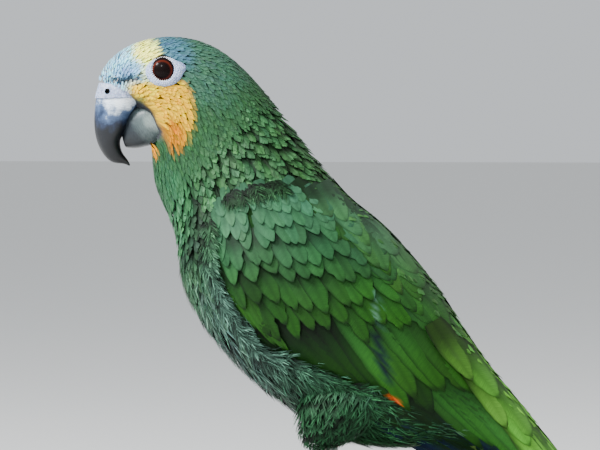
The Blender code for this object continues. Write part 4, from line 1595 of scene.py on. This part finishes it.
@dataclass
class FlankFringe:
    """Loose flank feathers that lap over the wing's lower edge, and neck feathers over its front."""

    body: BodyForm
    plumage: Plumage
    cut: Cut = StrandCut(16, 0.06, 0.6)
    lines: tuple = (
        (((-41.5, 178.0), (-42.5, 163.0), (-36.0, 143.0), (-24.5, 128.5)), (8.0, 10.0), (72.0, 44.0),
            (1.6, 2.6)),
        (((-27.0, 127.0), (-10.0, 122.0), (5.0, 115.0), (18.0, 107.5)), (12.0, 13.0), (32.0, 30.0),
            (1.2, 3.2)),
        (((-24.0, 124.0), (-9.0, 117.5), (4.0, 111.0), (15.0, 104.0)), (12.0, 12.0), (38.0, 36.0),
            (0.4, 2.2)),
        (((-37.0, 188.5), (-27.0, 191.5), (-20.0, 192.5), (-15.0, 193.0)), (7.5, 8.0), (64.0, 58.0),
            (0.5, 1.8)),
    )
    per_line: int = 62

    def build(self) -> None:
        """Makes the fringes of both sides."""
        rng = np.random.default_rng(71)
        vanes = Vanes("flank_fringe_L")
        for line, (line_points, length, down, lift) in enumerate(self.lines):
            sparse = line == len(self.lines) - 1
            curve = Curve(list(line_points))
            for i in range(self.per_line):
                if sparse and i % 2:
                    continue
                share = (i + rng.uniform(-0.4, 0.4)) / (self.per_line - 1.0)
                share = min(max(share, 0.0), 1.0)
                root = curve(share * 3.0) + rng.normal(0.0, 0.8, 2)
                reach = between(length, share) * rng.normal(1.0, 0.15)
                angle = math.radians(between(down, share) + rng.normal(0.0, 9.0))
                plume = self.cut.plume(rng)
                ahead, aside = plume.f * reach, plume.g * 3.6
                y = root[0] + ahead * math.cos(angle) + aside * math.sin(angle)
                z = root[1] - ahead * math.sin(angle) + aside * math.cos(angle)
                rise = between(lift, np.clip(plume.f, 0.0, 1.0)) + rng.normal(0.0, 0.25)
                rise = rise - 2.4 * (1.0 - smooth(plume.f / 0.3)) - 0.3 * plume.g**2
                points = self.body.on_side(y, z, rise, (3.0, 13.0))
                base = self.plumage.colour(root[:1], root[1:])[0] * rng.normal(1.0, 0.15)
                f = np.clip(plume.f, 0.0, 1.0)
                # painted shade: strands darken to near black at their roots, partly real darker bases and
                # partly shade in the gaps under them
                tone = plume.tone * (0.08 + (0.42 if sparse else 1.25) * smooth((f - 0.3) / 0.6))
                colours = np.clip(base[None] * tone[:, None], 0.002, 1.0)
                place = np.array([[0.02 + 0.95 * share, 0.05 + 0.22 * line + 0.01 * (i % 5)]])
                vanes.add(points[None], plume, colours[None], np.array([reach]), place,
                    (Vanes.PATCH, Vanes.PATCH))
        left = vanes.build(PlumageFinish("flank_plumage"))
        for piece in (left, mirrored(left, "flank_fringe_R")):
            settled(piece, "breast_feather")


@dataclass
class Tail:
    """Twelve tail feathers, closed, with coverts over and under their roots."""

    start: Pair = (59.6, 103.6)
    end: Pair = (137.6, 21.8)
    feathers: int = 12
    arch: float = 3.2
    rounding: float = 7.0
    cut: Cut = VaneCut(24, 7, 0.75, 4.0, 0.3, 0.45, 1)

    def place(self, along: Array, across: Array, rise: Array | float) -> Array:
        """A point of the tail from its place along, across and over its middle, in millimetres."""
        axis = np.array([self.end[0] - self.start[0], self.end[1] - self.start[1]])
        length = np.hypot(*axis)
        axis = axis / length
        rise = rise - self.arch * (along / length) ** 2 * (across / 17.0) ** 2
        y = self.start[0] + axis[0] * along - axis[1] * rise
        z = self.start[1] + axis[1] * along + axis[0] * rise
        return np.stack([across, y, z], axis=-1)

    def build(self) -> None:
        """Makes the tail as one piece."""
        rng = np.random.default_rng(41)
        vanes = Vanes("tail_coat")
        length = math.hypot(self.end[0] - self.start[0], self.end[1] - self.start[1])
        for i in range(self.feathers):
            side = (i - (self.feathers - 1) / 2.0) / ((self.feathers - 1) / 2.0)
            plume = self.cut.plume(rng)
            reach = length - self.rounding * side**2 - rng.uniform(0.0, 1.2)
            ahead = plume.f * reach
            spread = 4.0 + 7.0 * plume.f
            across = side * spread + plume.g * (4.5 + 3.5 * smooth(plume.f))
            rise = 1.0 - 1.9 * abs(side) + 0.25 * np.sign(side) * plume.g
            points = self.place(ahead, across, rise)
            base = mix(linear((66, 132, 54))[None], linear((118, 172, 66))[None],
                smooth((plume.f - 0.72) / 0.25))
            red = smooth((0.4 - plume.f) / 0.2) * (abs(side) > 0.4)
            base = mix(base, linear((196, 74, 34))[None], 0.8 * red)
            shaft = 1.0 - 0.35 * np.exp(-((plume.g / 0.06) ** 2))
            colours = base * (plume.tone * shaft * rng.normal(1.0, 0.06))[:, None]
            vanes.add(points[None], plume, colours[None], np.array([reach]),
                np.array([[0.02 + 0.03 * i, 0.02]]), (0.026, 0.9))
        self.coverts(vanes, rng)
        settled(vanes.build(PlumageFinish("tail_plumage", 0.6, 0.3, 0.1)), "tail_feather", "tail")

    def coverts(self, vanes: Vanes, rng: np.random.Generator) -> None:
        """Adds the coverts over and under the tail's root."""
        cut = BarbCut(9, 2, 0.3, 1.0, 0.04, 0.6, 2.6, 0.14)
        for above in (1.0, -1.0):
            for row in range(6):
                for i in range(7):
                    side = (i - 3.0 + 0.5 * (row % 2)) / 3.5
                    if abs(side) > 1.0:
                        continue
                    plume = cut.plume(rng)
                    start, reach = 7.0 * row - 4.0, 24.0 * rng.normal(1.0, 0.08)
                    ahead = start + plume.f * reach
                    full = np.clip(1.0 - ahead / 74.0, 0.12, 1.0)
                    half = 4.0 + 10.0 * full
                    angle = side * 1.15 + plume.g * 0.42
                    across = np.sin(angle) * half * 1.1
                    tall = (11.0 if above > 0.0 else 14.0) * full
                    rise = above * (np.cos(angle) * tall + 0.8 * plume.f)
                    tone = linear((92, 168, 74)) if above > 0.0 else linear((134, 160, 62))
                    # painted shade towards the root, partly real darker bases and partly shade under the
                    # coverts over them
                    depth = 0.4 + 0.6 * smooth(plume.f / 0.4)
                    colours = tone[None] * (plume.tone * depth * rng.normal(1.0, 0.1))[:, None]
                    spot = np.array(
                        [[0.45 + 0.06 * i + 0.02 * (row % 2), 0.05 + 0.07 * row + 0.45 * (above > 0.0)]])
                    vanes.add(self.place(ahead, across, rise)[None], plume, colours[None], np.array([reach]),
                        spot, (0.006, 0.006))


@dataclass
class Beak:
    """Mandibles and cere, as sections: the ridge's point, the edge's point and a half-width."""

    body: BodyForm
    upper: list = field(
        default_factory=lambda: [
            (-90.2, 231.4, -70.0, 229.0, 8.4),
            (-91.9, 225.4, -71.8, 226.0, 8.8),
            (-92.7, 217.4, -77.4, 218.9, 8.3),
            (-92.4, 211.4, -79.4, 213.2, 6.9),
            (-91.2, 206.6, -81.8, 209.2, 5.6),
            (-88.9, 202.4, -82.2, 206.0, 4.1),
            (-85.4, 199.4, -81.2, 203.0, 2.6),
            (-81.2, 198.8, -79.6, 200.8, 1.4),
            (-78.6, 197.9, -78.3, 198.5, 0.3),
        ]
    )
    lower: list = field(
        default_factory=lambda: [
            (-59.8, 211.0, -64.4, 219.0, 11.2),
            (-65.6, 207.8, -71.6, 223.0, 9.5),
            (-71.0, 206.0, -77.4, 220.8, 7.7),
            (-76.0, 205.0, -80.6, 215.6, 6.2),
            (-80.4, 205.4, -81.6, 209.6, 3.9),
        ]
    )
    cere_share: float = 0.95  # in sections from the forehead
    nostril: Pair = (-87.0, 227.9)
    nostril_radius: float = 1.15

    def rings(self, stations: list, start: float, end: float, steps: int, hook: float,
            sides: int = 36) -> Array:
        """The rings of a mandible.

        Args:
            stations: its sections.
            start: the section it begins at.
            end: the section it ends at.
            steps: how many rings.
            hook: how much wider its edge is than its ridge.
            sides: how many points a ring has.

        Returns:
            Rings by points by 3.
        """
        ridge_y, ridge_z, edge_y, edge_z, wide = (column[:, None]
            for column in Curve(stations)(np.linspace(start, end, steps)).T)
        angle = around(sides)[None]
        out = np.sin(angle)
        share = (1.0 - np.cos(angle)) / 2.0
        x = np.sign(out) * np.abs(out) ** 0.8 * wide * (1.0 + hook * (share - 0.5))
        points = np.stack([x, between((ridge_y, edge_y), share), between((ridge_z, edge_z), share)], axis=-1)
        return self.body.turned(points)

    def build(self) -> None:
        """Makes the three pieces."""
        last = len(self.upper) - 1.0
        # the pale bluish white near the cere is partly the horn's own colour and partly a painted highlight
        horn = HornFinish(
            "upper_horn",
            ((0.0, (196, 212, 230)), (0.06, (240, 248, 253)), (0.13, (222, 236, 248)), (0.20, (78, 100, 134)),
             (0.28, (34, 47, 72)), (0.37, (12, 16, 24)), (1.0, (6, 7, 9))),
            shade=0.36,
        )
        upper = lofted("upper_mandible", self.rings(self.upper, self.cere_share, last, 44, 0.2),
            horn.material())
        settled(upper, "grey_horn", "beak_upper")
        # the pale band at 0.25 is partly the horn's own colour and partly a painted highlight
        pale = HornFinish(
            "lower_horn",
            ((0.0, (96, 106, 98)), (0.25, (138, 152, 146)), (0.45, (84, 98, 98)), (0.7, (36, 44, 50)),
                (1.0, (16, 20, 25))),
            shade=0.5, wear=0.9,
        )
        lower = lofted("lower_mandible", self.rings(self.lower, 0.0, 4.0, 20, 0.0), pale.material())
        settled(lower, "pale_horn", "beak_lower")
        rings = self.rings(self.upper, 0.0, self.cere_share + 0.12, 18, 0.2)
        middle = (rings.max(axis=(0, 1)) + rings.min(axis=(0, 1))) / 2.0
        swell = self.body.turned(np.array([[x, *self.nostril] for x in (6.5, -6.5)]))
        out = rings - middle
        near = np.stack([np.linalg.norm(rings - spot, axis=-1) for spot in swell]).min(axis=0)
        rings = rings + out * (0.05 + 0.10 * np.exp(-((near / 3.0) ** 2)))[..., None]
        skin = BareSkinFinish("cere_skin", (104, 116, 150), (184, 196, 222), 1100.0, 0.0002, 0.5)
        cere = lofted("cere_skin", rings, skin.material())
        self.nostrils(cere, swell)
        settled(cere, "grey_cere", "cere")

    def nostrils(self, cere: bpy.types.Object, spots: Array) -> None:
        """Opens the nostrils in the cere and lines them with a dark colour as painted shade in the holes."""
        for spot in spots:
            outward = 1.0 if spot[0] > self.body.turned(np.array([0.0, *self.nostril]))[0] else -1.0
            deselect()
            where = (spot + np.array([outward * 1.6, 0.0, 0.0])) * MM
            bpy.ops.mesh.primitive_uv_sphere_add(segments=20, ring_count=12, radius=self.nostril_radius * MM,
                location=where)
            hole = bpy.context.object
            hole.scale = (2.2, 1.0, 1.0)
            bpy.ops.object.transform_apply(location=True, rotation=True, scale=True)
            # a dark lining: painted shade inside the nostril
            hole.data.materials.append(BareSkinFinish("nostril_dark", (20, 22, 28), (12, 12, 16)).material())
            finished(cere, "BOOLEAN", operation="DIFFERENCE", object=hole, material_mode="TRANSFER")
            bpy.data.objects.remove(hole)


@dataclass
class Eye:
    """An eye in its ring of bare skin."""

    body: BodyForm
    spot: Pair = (-64.6, 236.2)
    out: float = 14.2
    radius: float = 6.2
    opening: float = 4.45
    ring_reach: tuple[float, float, float, float] = (8.2, 7.3, 5.3, 6.3)  # rear, front, up, down

    def ball(self, side: Side) -> bpy.types.Object:
        """The eyeball, with its rings round its own axis."""
        axis = np.array([1.0, -0.10, 0.02])
        axis = axis / np.linalg.norm(axis)
        up = np.array([0.0, 0.0, 1.0])
        across = np.cross(axis, up)
        across = across / np.linalg.norm(across)
        up = np.cross(across, axis)
        tilt = np.radians(np.linspace(1.0, 179.0, 48))[:, None, None]
        turn = around(48)[None, :, None]
        points = np.array([self.out, *self.spot]) + self.radius * (
            axis * np.cos(tilt) + (across * np.cos(turn) + up * np.sin(turn)) * np.sin(tilt)
        )
        points[..., 0] *= side.value
        if side is Side.RIGHT:
            points = points[:, ::-1]
        return lofted("eyeball_" + side.letter, self.body.turned(points),
            EyeFinish("amazon_eye_" + side.letter).material(), levels=0)

    def ring(self, side: Side) -> bpy.types.Object:
        """The bare ring: an almond of skin that rises to the eye's edge and turns in under it."""
        turn = around(64)[None]
        rear, front, up, down = self.ring_reach
        cos, sin = np.cos(turn), np.sin(turn)
        wide = np.where(cos > 0.0, rear, front)
        tall = np.where(sin > 0.0, up, down)
        outer = 1.0 / np.sqrt((cos / wide) ** 2 + (sin / tall) ** 2)
        outer = outer + 1.5 * np.exp(-((np.degrees(turn - 0.22) / 16.0) ** 2))
        r = np.linspace(0.0, 1.0, 12)[:, None]
        inner = self.opening * 0.92
        reach = inner + (outer - inner) * r
        y, z = self.spot[0] + reach * cos, self.spot[1] + reach * sin
        s, a, _ = self.body.locate(y, z, 0.4, 5.0)
        rise = 0.9 * np.sin(math.pi * np.clip(r * 0.62 + 0.22, 0.0, 1.0)) - 1.1 * r**3 + 0.3
        rise = rise - 1.6 * (1.0 - smooth(r / 0.14))
        points = self.body.point(s, a, rise)
        if side is Side.RIGHT:
            flat = self.body.turned(points, -self.body.turn_share(s))
            flat[..., 0] *= -1.0
            points = self.body.turned(flat, self.body.turn_share(s))[:, ::-1]
        dots = self.papillae(side)
        skin = BareSkinFinish("eye_ring_skin_" + side.letter, (84, 104, 150), (176, 194, 226), 1300.0,
            0.0005, 0.5)
        wrapped = np.concatenate([points, points[:, :1]], axis=1)
        ring = lofted("eye_ring_" + side.letter, wrapped, skin.material(), closed=False)
        return joined([ring, *dots], ring.name)

    def papillae(self, side: Side) -> list[bpy.types.Object]:
        """Small warts in rows round the eye."""
        rng = np.random.default_rng(61)
        rear, front, up, down = self.ring_reach
        made = []
        for row, reach in enumerate((0.12, 0.34, 0.58, 0.8)):
            for i in range(34 + 4 * row):
                turn = 2.0 * math.pi * (i + 0.5 * (row % 2)) / (34 + 4 * row)
                cos, sin = math.cos(turn), math.sin(turn)
                outer = 1.0 / math.hypot(cos / (rear if cos > 0.0 else front),
                    sin / (up if sin > 0.0 else down))
                away = self.opening * 0.92 + (outer - self.opening * 0.92) * reach
                y, z = np.array([self.spot[0] + away * cos]), np.array([self.spot[1] + away * sin])
                s, a, _ = self.body.locate(y, z, 0.4, 5.0)
                rise = 0.9 * math.sin(math.pi * min(reach * 0.62 + 0.22, 1.0)) - 1.1 * reach**3 + 0.34
                point = self.body.turned(self.body.point(s, a, rise), -self.body.turn_share(s))[0]
                point[0] *= side.value
                point = self.body.turned(point, self.body.turn_share(s)[0])
                deselect()
                size = rng.uniform(0.16, 0.27) * (1.15 - 0.5 * reach)
                bpy.ops.mesh.primitive_ico_sphere_add(subdivisions=1, radius=size * MM, location=point * MM)
                wart = bpy.context.object
                bpy.ops.object.transform_apply(location=True, rotation=False, scale=False)
                bpy.ops.object.shade_smooth()
                made.append(wart)
        return made

    def build(self) -> None:
        """Makes both eyes."""
        for side in Side:
            settled(self.ball(side), "brown_eye", "eye_" + side.letter)
            settled(self.ring(side), "grey_cere")


@dataclass(frozen=True)
class Toe:
    """A toe round the perch: its splay along the perch, its angle round it, and its claw's size."""

    name: str
    splay: float
    degrees: float
    claw: float


@dataclass
class Foot:
    """Shank, toes and claws."""

    perch_top: float = 76.0
    perch_radius: float = 11.5
    x: float = 14.0
    toe_radius: float = 2.8
    claw_length: float = 11.0
    toes: list[Toe] = field(
        default_factory=lambda: [
            Toe("front_inner", -5.4, 68.0, 0.85),
            Toe("front_outer", 5.0, 96.0, 1.0),
            Toe("back_inner", -5.0, -52.0, 0.8),
            Toe("back_outer", 5.6, -82.0, 0.95),
        ]
    )

    def path(self, toe: Toe, share: Array) -> Array:
        """Points of a toe's middle line."""
        radius = self.perch_radius + self.toe_radius + 0.4
        angle = np.radians(90.0 + toe.degrees * share)
        lift = 1.2 * (1.0 - smooth(share * 2.5))
        y = np.cos(angle) * radius
        z = self.perch_top - self.perch_radius + np.sin(angle) * (radius + lift)
        return np.stack([self.x + toe.splay * smooth(share * 1.6), y, z], axis=-1)

    def tube(self, points: Array, radii: Array, sides: int = 20) -> Array:
        """Rings square to a line of points."""
        along = np.gradient(points, axis=0)
        along = along / np.linalg.norm(along, axis=1)[:, None]
        side = np.array([1.0, 0.0, 0.0]) - along * along[:, :1]
        side = side / np.linalg.norm(side, axis=1)[:, None]
        other = np.cross(along, side)
        turn = around(sides)[None, :, None]
        return points[:, None] + radii[:, None,
            None] * (side[:, None] * np.cos(turn) + other[:, None] * np.sin(turn))

    def toe(self, toe: Toe, material: bpy.types.Material) -> bpy.types.Object:
        """A toe with scutes over it and pads under its joints."""
        share = np.linspace(0.0, 1.0, 60)
        joints = 0.5 - 0.5 * np.cos(2.0 * math.pi * share * abs(toe.degrees) / 26.0)
        scutes = np.abs(np.sin(math.pi * share * abs(toe.degrees) / 6.5)) ** 0.5
        radii = self.toe_radius * (0.84 + 0.10 * (1.0 - joints) + 0.06 * scutes)
        radii[-6:] *= np.linspace(0.97, 0.7, 6)
        return lofted("toe", self.tube(self.path(toe, share), radii), material, levels=0)

    def claw(self, toe: Toe, side: Side, material: bpy.types.Material) -> bpy.types.Object:
        """A claw that goes on from its toe."""
        end, before = self.path(toe, np.array([1.0, 0.98]))
        heading = (end - before) / np.linalg.norm(end - before)
        middle = np.array([end[0], 0.0, self.perch_top - self.perch_radius])
        inward = (middle - end) / np.linalg.norm(middle - end)
        reach = self.claw_length * toe.claw / math.radians(75.0)
        bend = np.radians(75.0) * np.linspace(0.0, 1.0, 24)[:, None]
        points = end - heading * 0.5 + heading * reach * np.sin(bend) + inward * (reach
            * (1.0 - np.cos(bend)) * 0.55 - 0.5)
        radii = 1.75 * toe.claw * (1.0 - np.linspace(0.0, 1.0, 24)) ** 0.7 + 0.12
        name = f"claw_horn_{toe.name}_{side.letter}"
        points[:, 0] *= side.value
        return lofted(name, self.tube(points, radii, 14), material, levels=0)

    def build(self) -> None:
        """Makes both feet."""
        scales = BareSkinFinish("foot_scales", (120, 124, 122), (176, 180, 174), 700.0, 0.0004, 0.55)
        horn = HornFinish("claw_horn", ((0.0, (60, 62, 66)), (1.0, (22, 22, 26))), 0.28)
        for side in Side:
            material = scales.material()
            height = np.linspace(86.5, self.perch_top + 2.0, 30)
            middle = np.stack([np.linspace(14.6, self.x, 30), np.linspace(0.4, 0.0, 30), height], axis=-1)
            radii = 3.1 + 0.9 * smooth((81.0 - height) / 4.0) + 0.15 * np.abs(np.sin(height * 2.6))
            pieces = [lofted("shank", self.tube(middle, radii), material, levels=0)]
            pieces += [self.toe(toe, material) for toe in self.toes]
            foot = joined(pieces, "foot_skin_" + side.letter)
            finished(foot, "REMESH", mode="VOXEL", voxel_size=0.42 * MM)
            finished(foot, "SMOOTH", factor=0.5, iterations=3)
            if side is Side.RIGHT:
                made = mirrored(foot, "foot_skin_R")
                bpy.data.objects.remove(foot)
                made.name = made.data.name = "foot_skin_R"
                foot = made
            dressed(foot, material)
            only(foot)
            bpy.ops.object.shade_smooth()
            settled(foot, "grey_scute", "foot_" + side.letter)
            for toe in self.toes:
                settled(self.claw(toe, side, horn.material()), "dark_claw", f"claw_{toe.name}_{side.letter}")


@dataclass
class Stand:
    """The cut branch, its rod and the turned base."""

    perch_top: float = 76.0
    perch_radius: float = 11.5
    perch_half: float = 66.0
    base_radius: float = 78.0
    base_height: float = 12.0
    rod_radius: float = 4.0
    collar_radius: float = 7.5
    collar_height: float = 7.0

    def perch(self) -> bpy.types.Object:
        """A branch with ridged bark, knots and sawn ends."""
        share = np.linspace(-1.0, 1.0, 120)[:, None]
        turn = around(64)[None]
        rng = np.random.default_rng(51)
        ridges = sum(
            rng.uniform(0.05, 0.16) * np.sin(k * turn + rng.uniform(2.0, 7.0) * share
                + rng.uniform(0.0, 6.3)) for k in (3, 5, 8, 13, 21)
        )
        radius = self.perch_radius - 0.35 - 0.7 * smooth((np.abs(share) - 0.5) / 0.5) + ridges
        for place, angle in ((-0.62, 2.4), (0.7, 0.6), (0.36, 4.6)):
            near = ((share - place) * self.perch_half / 5.0) ** 2 + (np.angle(np.exp(1j * (turn - angle)))
                * 2.4) ** 2
            radius = radius + 1.5 * np.exp(-near) - 1.1 * np.exp(-near * 5.0)
        x = share * self.perch_half + 0.0 * turn
        middle = self.perch_top - self.perch_radius
        points = np.stack([x, radius * np.cos(turn), middle + radius * np.sin(turn)], axis=-1)
        bark = WoodFinish("bark", (52, 42, 34), (138, 118, 96), (0.35, 1.0, 1.0), 320.0, 0.9, 0.0012)
        piece = lofted("perch_branch", points, bark.material(), levels=0)
        sawn = WoodFinish("sawn_end", (150, 116, 78), (206, 176, 132), (1.0, 1.0, 1.0), 260.0, 0.8, 0.0003)
        piece.data.materials.append(sawn.material())
        for face in piece.data.polygons:
            if abs(face.normal.x) > 0.9:
                face.material_index = 1
                face.use_smooth = False
        return piece

    def base(self) -> bpy.types.Object:
        """A turned disc with a stepped, rounded edge."""
        deselect()
        size = self.base_radius * MM
        height = self.base_height * MM
        bpy.ops.mesh.primitive_cylinder_add(vertices=128, radius=size, depth=height,
            location=(0.0, 0.0, height / 2.0))
        piece = bpy.context.object
        piece.name = piece.data.name = "base_disc"
        bpy.ops.object.transform_apply(location=True, rotation=True, scale=True)
        bpy.ops.object.mode_set(mode="EDIT")
        bpy.ops.mesh.select_all(action="DESELECT")
        bpy.ops.object.mode_set(mode="OBJECT")
        for face in piece.data.polygons:
            face.select = face.normal.z > 0.9
        bpy.ops.object.mode_set(mode="EDIT")
        bpy.ops.mesh.select_mode(type="FACE")
        bpy.ops.mesh.inset(thickness=3.2 * MM)
        bpy.ops.transform.translate(value=(0.0, 0.0, -1.2 * MM))
        bpy.ops.mesh.inset(thickness=1.4 * MM)
        bpy.ops.transform.translate(value=(0.0, 0.0, 1.2 * MM))
        bpy.ops.object.mode_set(mode="OBJECT")
        finished(piece, "BEVEL", width=1.0 * MM, segments=4, limit_method="ANGLE", angle_limit=0.4)
        only(piece)
        bpy.ops.object.shade_smooth_by_angle(angle=math.radians(35.0))
        wood = WoodFinish("stand_wood", (44, 22, 12), (104, 62, 38), (0.12, 1.0, 1.0), 150.0, 0.4, 0.0002)
        dressed(piece, wood.material())
        return piece

    def rod(self) -> bpy.types.Object:
        """A rod with a cup that the branch sits in and a foot ring."""
        top = self.perch_top - self.perch_radius * 1.55
        low = self.base_height
        profile = [
            (low, self.rod_radius + 3.0), (low + 1.6, self.rod_radius + 3.0),
            (low + 2.4, self.rod_radius + 0.6),
            (low + 3.2, self.rod_radius), (top - self.collar_height - 1.4, self.rod_radius),
            (top - self.collar_height, self.rod_radius + 1.2),
            (top - self.collar_height + 1.2, self.collar_radius),
            (top, self.collar_radius),
        ]
        turn = around(48)
        rings = np.array([[(r * math.cos(t), r * math.sin(t), z) for t in turn] for z, r in profile])
        piece = lofted("rod_and_collar", rings, SteelFinish().material(), levels=0)
        only(piece)
        finished(piece, "BEVEL", width=0.3 * MM, segments=2, limit_method="ANGLE", angle_limit=0.5)
        bpy.ops.object.shade_smooth_by_angle(angle=math.radians(35.0))
        return piece

    def build(self) -> None:
        """Makes the stand."""
        settled(self.perch(), "bark", "stand_perch")
        settled(self.base(), "stand_wood", "stand_base")
        settled(self.rod(), "stand_steel", "stand_rod")


@dataclass
class Studio:
    """Floor, lights and camera."""

    azimuth: float = 98.0
    elevation: float = 1.5
    distance: float = 2.6
    width: float = 0.240  # metres of the bird's plane that the frame takes in
    target: tuple[float, float, float] = (0.0, -0.0100, 0.1744)

    def camera(self) -> None:
        """Makes the camera."""
        az, el = math.radians(self.azimuth), math.radians(self.elevation)
        away = Vector((math.sin(az) * math.cos(el), -math.cos(az) * math.cos(el), math.sin(el)))
        data = bpy.data.cameras.new("camera")
        data.sensor_width = 36.0
        data.lens = 36.0 * self.distance / self.width
        data.clip_end = 50.0
        camera = placed("camera", data)
        camera.location = Vector(self.target) + away * self.distance
        camera.rotation_euler = (-away).to_track_quat("-Z", "Y").to_euler()
        bpy.context.scene.camera = camera

    def light(self, name: str, place: tuple[float, float, float], size: float, power: float,
            colour: Rgb) -> None:
        """Adds an area light that looks at the bird."""
        data = bpy.data.lights.new(name, "AREA")
        data.shape = "DISK"
        data.size = size
        data.energy = power
        data.color = colour
        lamp = placed(name, data)
        lamp.location = place
        lamp.rotation_euler = (Vector((0.0, 0.0, 0.16)) - Vector(place)).to_track_quat("-Z", "Y").to_euler()

    def floor(self) -> None:
        """A wide pale floor."""
        deselect()
        bpy.ops.mesh.primitive_plane_add(size=24.0)
        floor = bpy.context.object
        floor.name = "floor"
        nodes = Nodes("pale_floor")
        nodes.set(Base_Color=(0.78, 0.78, 0.765, 1.0), Roughness=0.95)
        floor.data.materials.append(nodes.made)

    def world(self) -> None:
        """A soft pale sky."""
        world = bpy.data.worlds.new("sky")
        bpy.context.scene.world = world
        world.use_nodes = True
        back = world.node_tree.nodes["Background"]
        back.inputs["Color"].default_value = (0.86, 0.90, 0.94, 1.0)
        back.inputs["Strength"].default_value = 0.8

    def build(self) -> None:
        """Makes everything round the bird."""
        self.camera()
        self.floor()
        self.world()
        self.light("key", (0.8, -1.3, 1.6), 0.55, 105.0, (0.96, 0.98, 1.0))
        self.light("side", (1.5, -0.3, 1.3), 0.35, 24.0, (1.0, 1.0, 0.98))
        self.light("rear", (-0.9, 1.3, 1.2), 0.8, 9.0, (1.0, 0.98, 0.94))


def main() -> None:
    """Builds the bird and its stand in order."""
    logging.basicConfig(level=logging.INFO, format="%(name)s %(message)s")
    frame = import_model()
    body, plumage = BodyForm(), Plumage()
    Studio().build()
    face, wing = FaceEdge(), Wing(body)
    Skin(body, plumage, face).build(frame)
    BodyCoat(body, plumage, face, wing).build()
    ThighCoat(plumage).build()
    wing.build()
    FlankFringe(body, plumage).build()
    Tail().build()
    Beak(body).build()
    Eye(body).build()
    Foot().build()
    Stand().build()


if __name__ == "__main__":
    main()
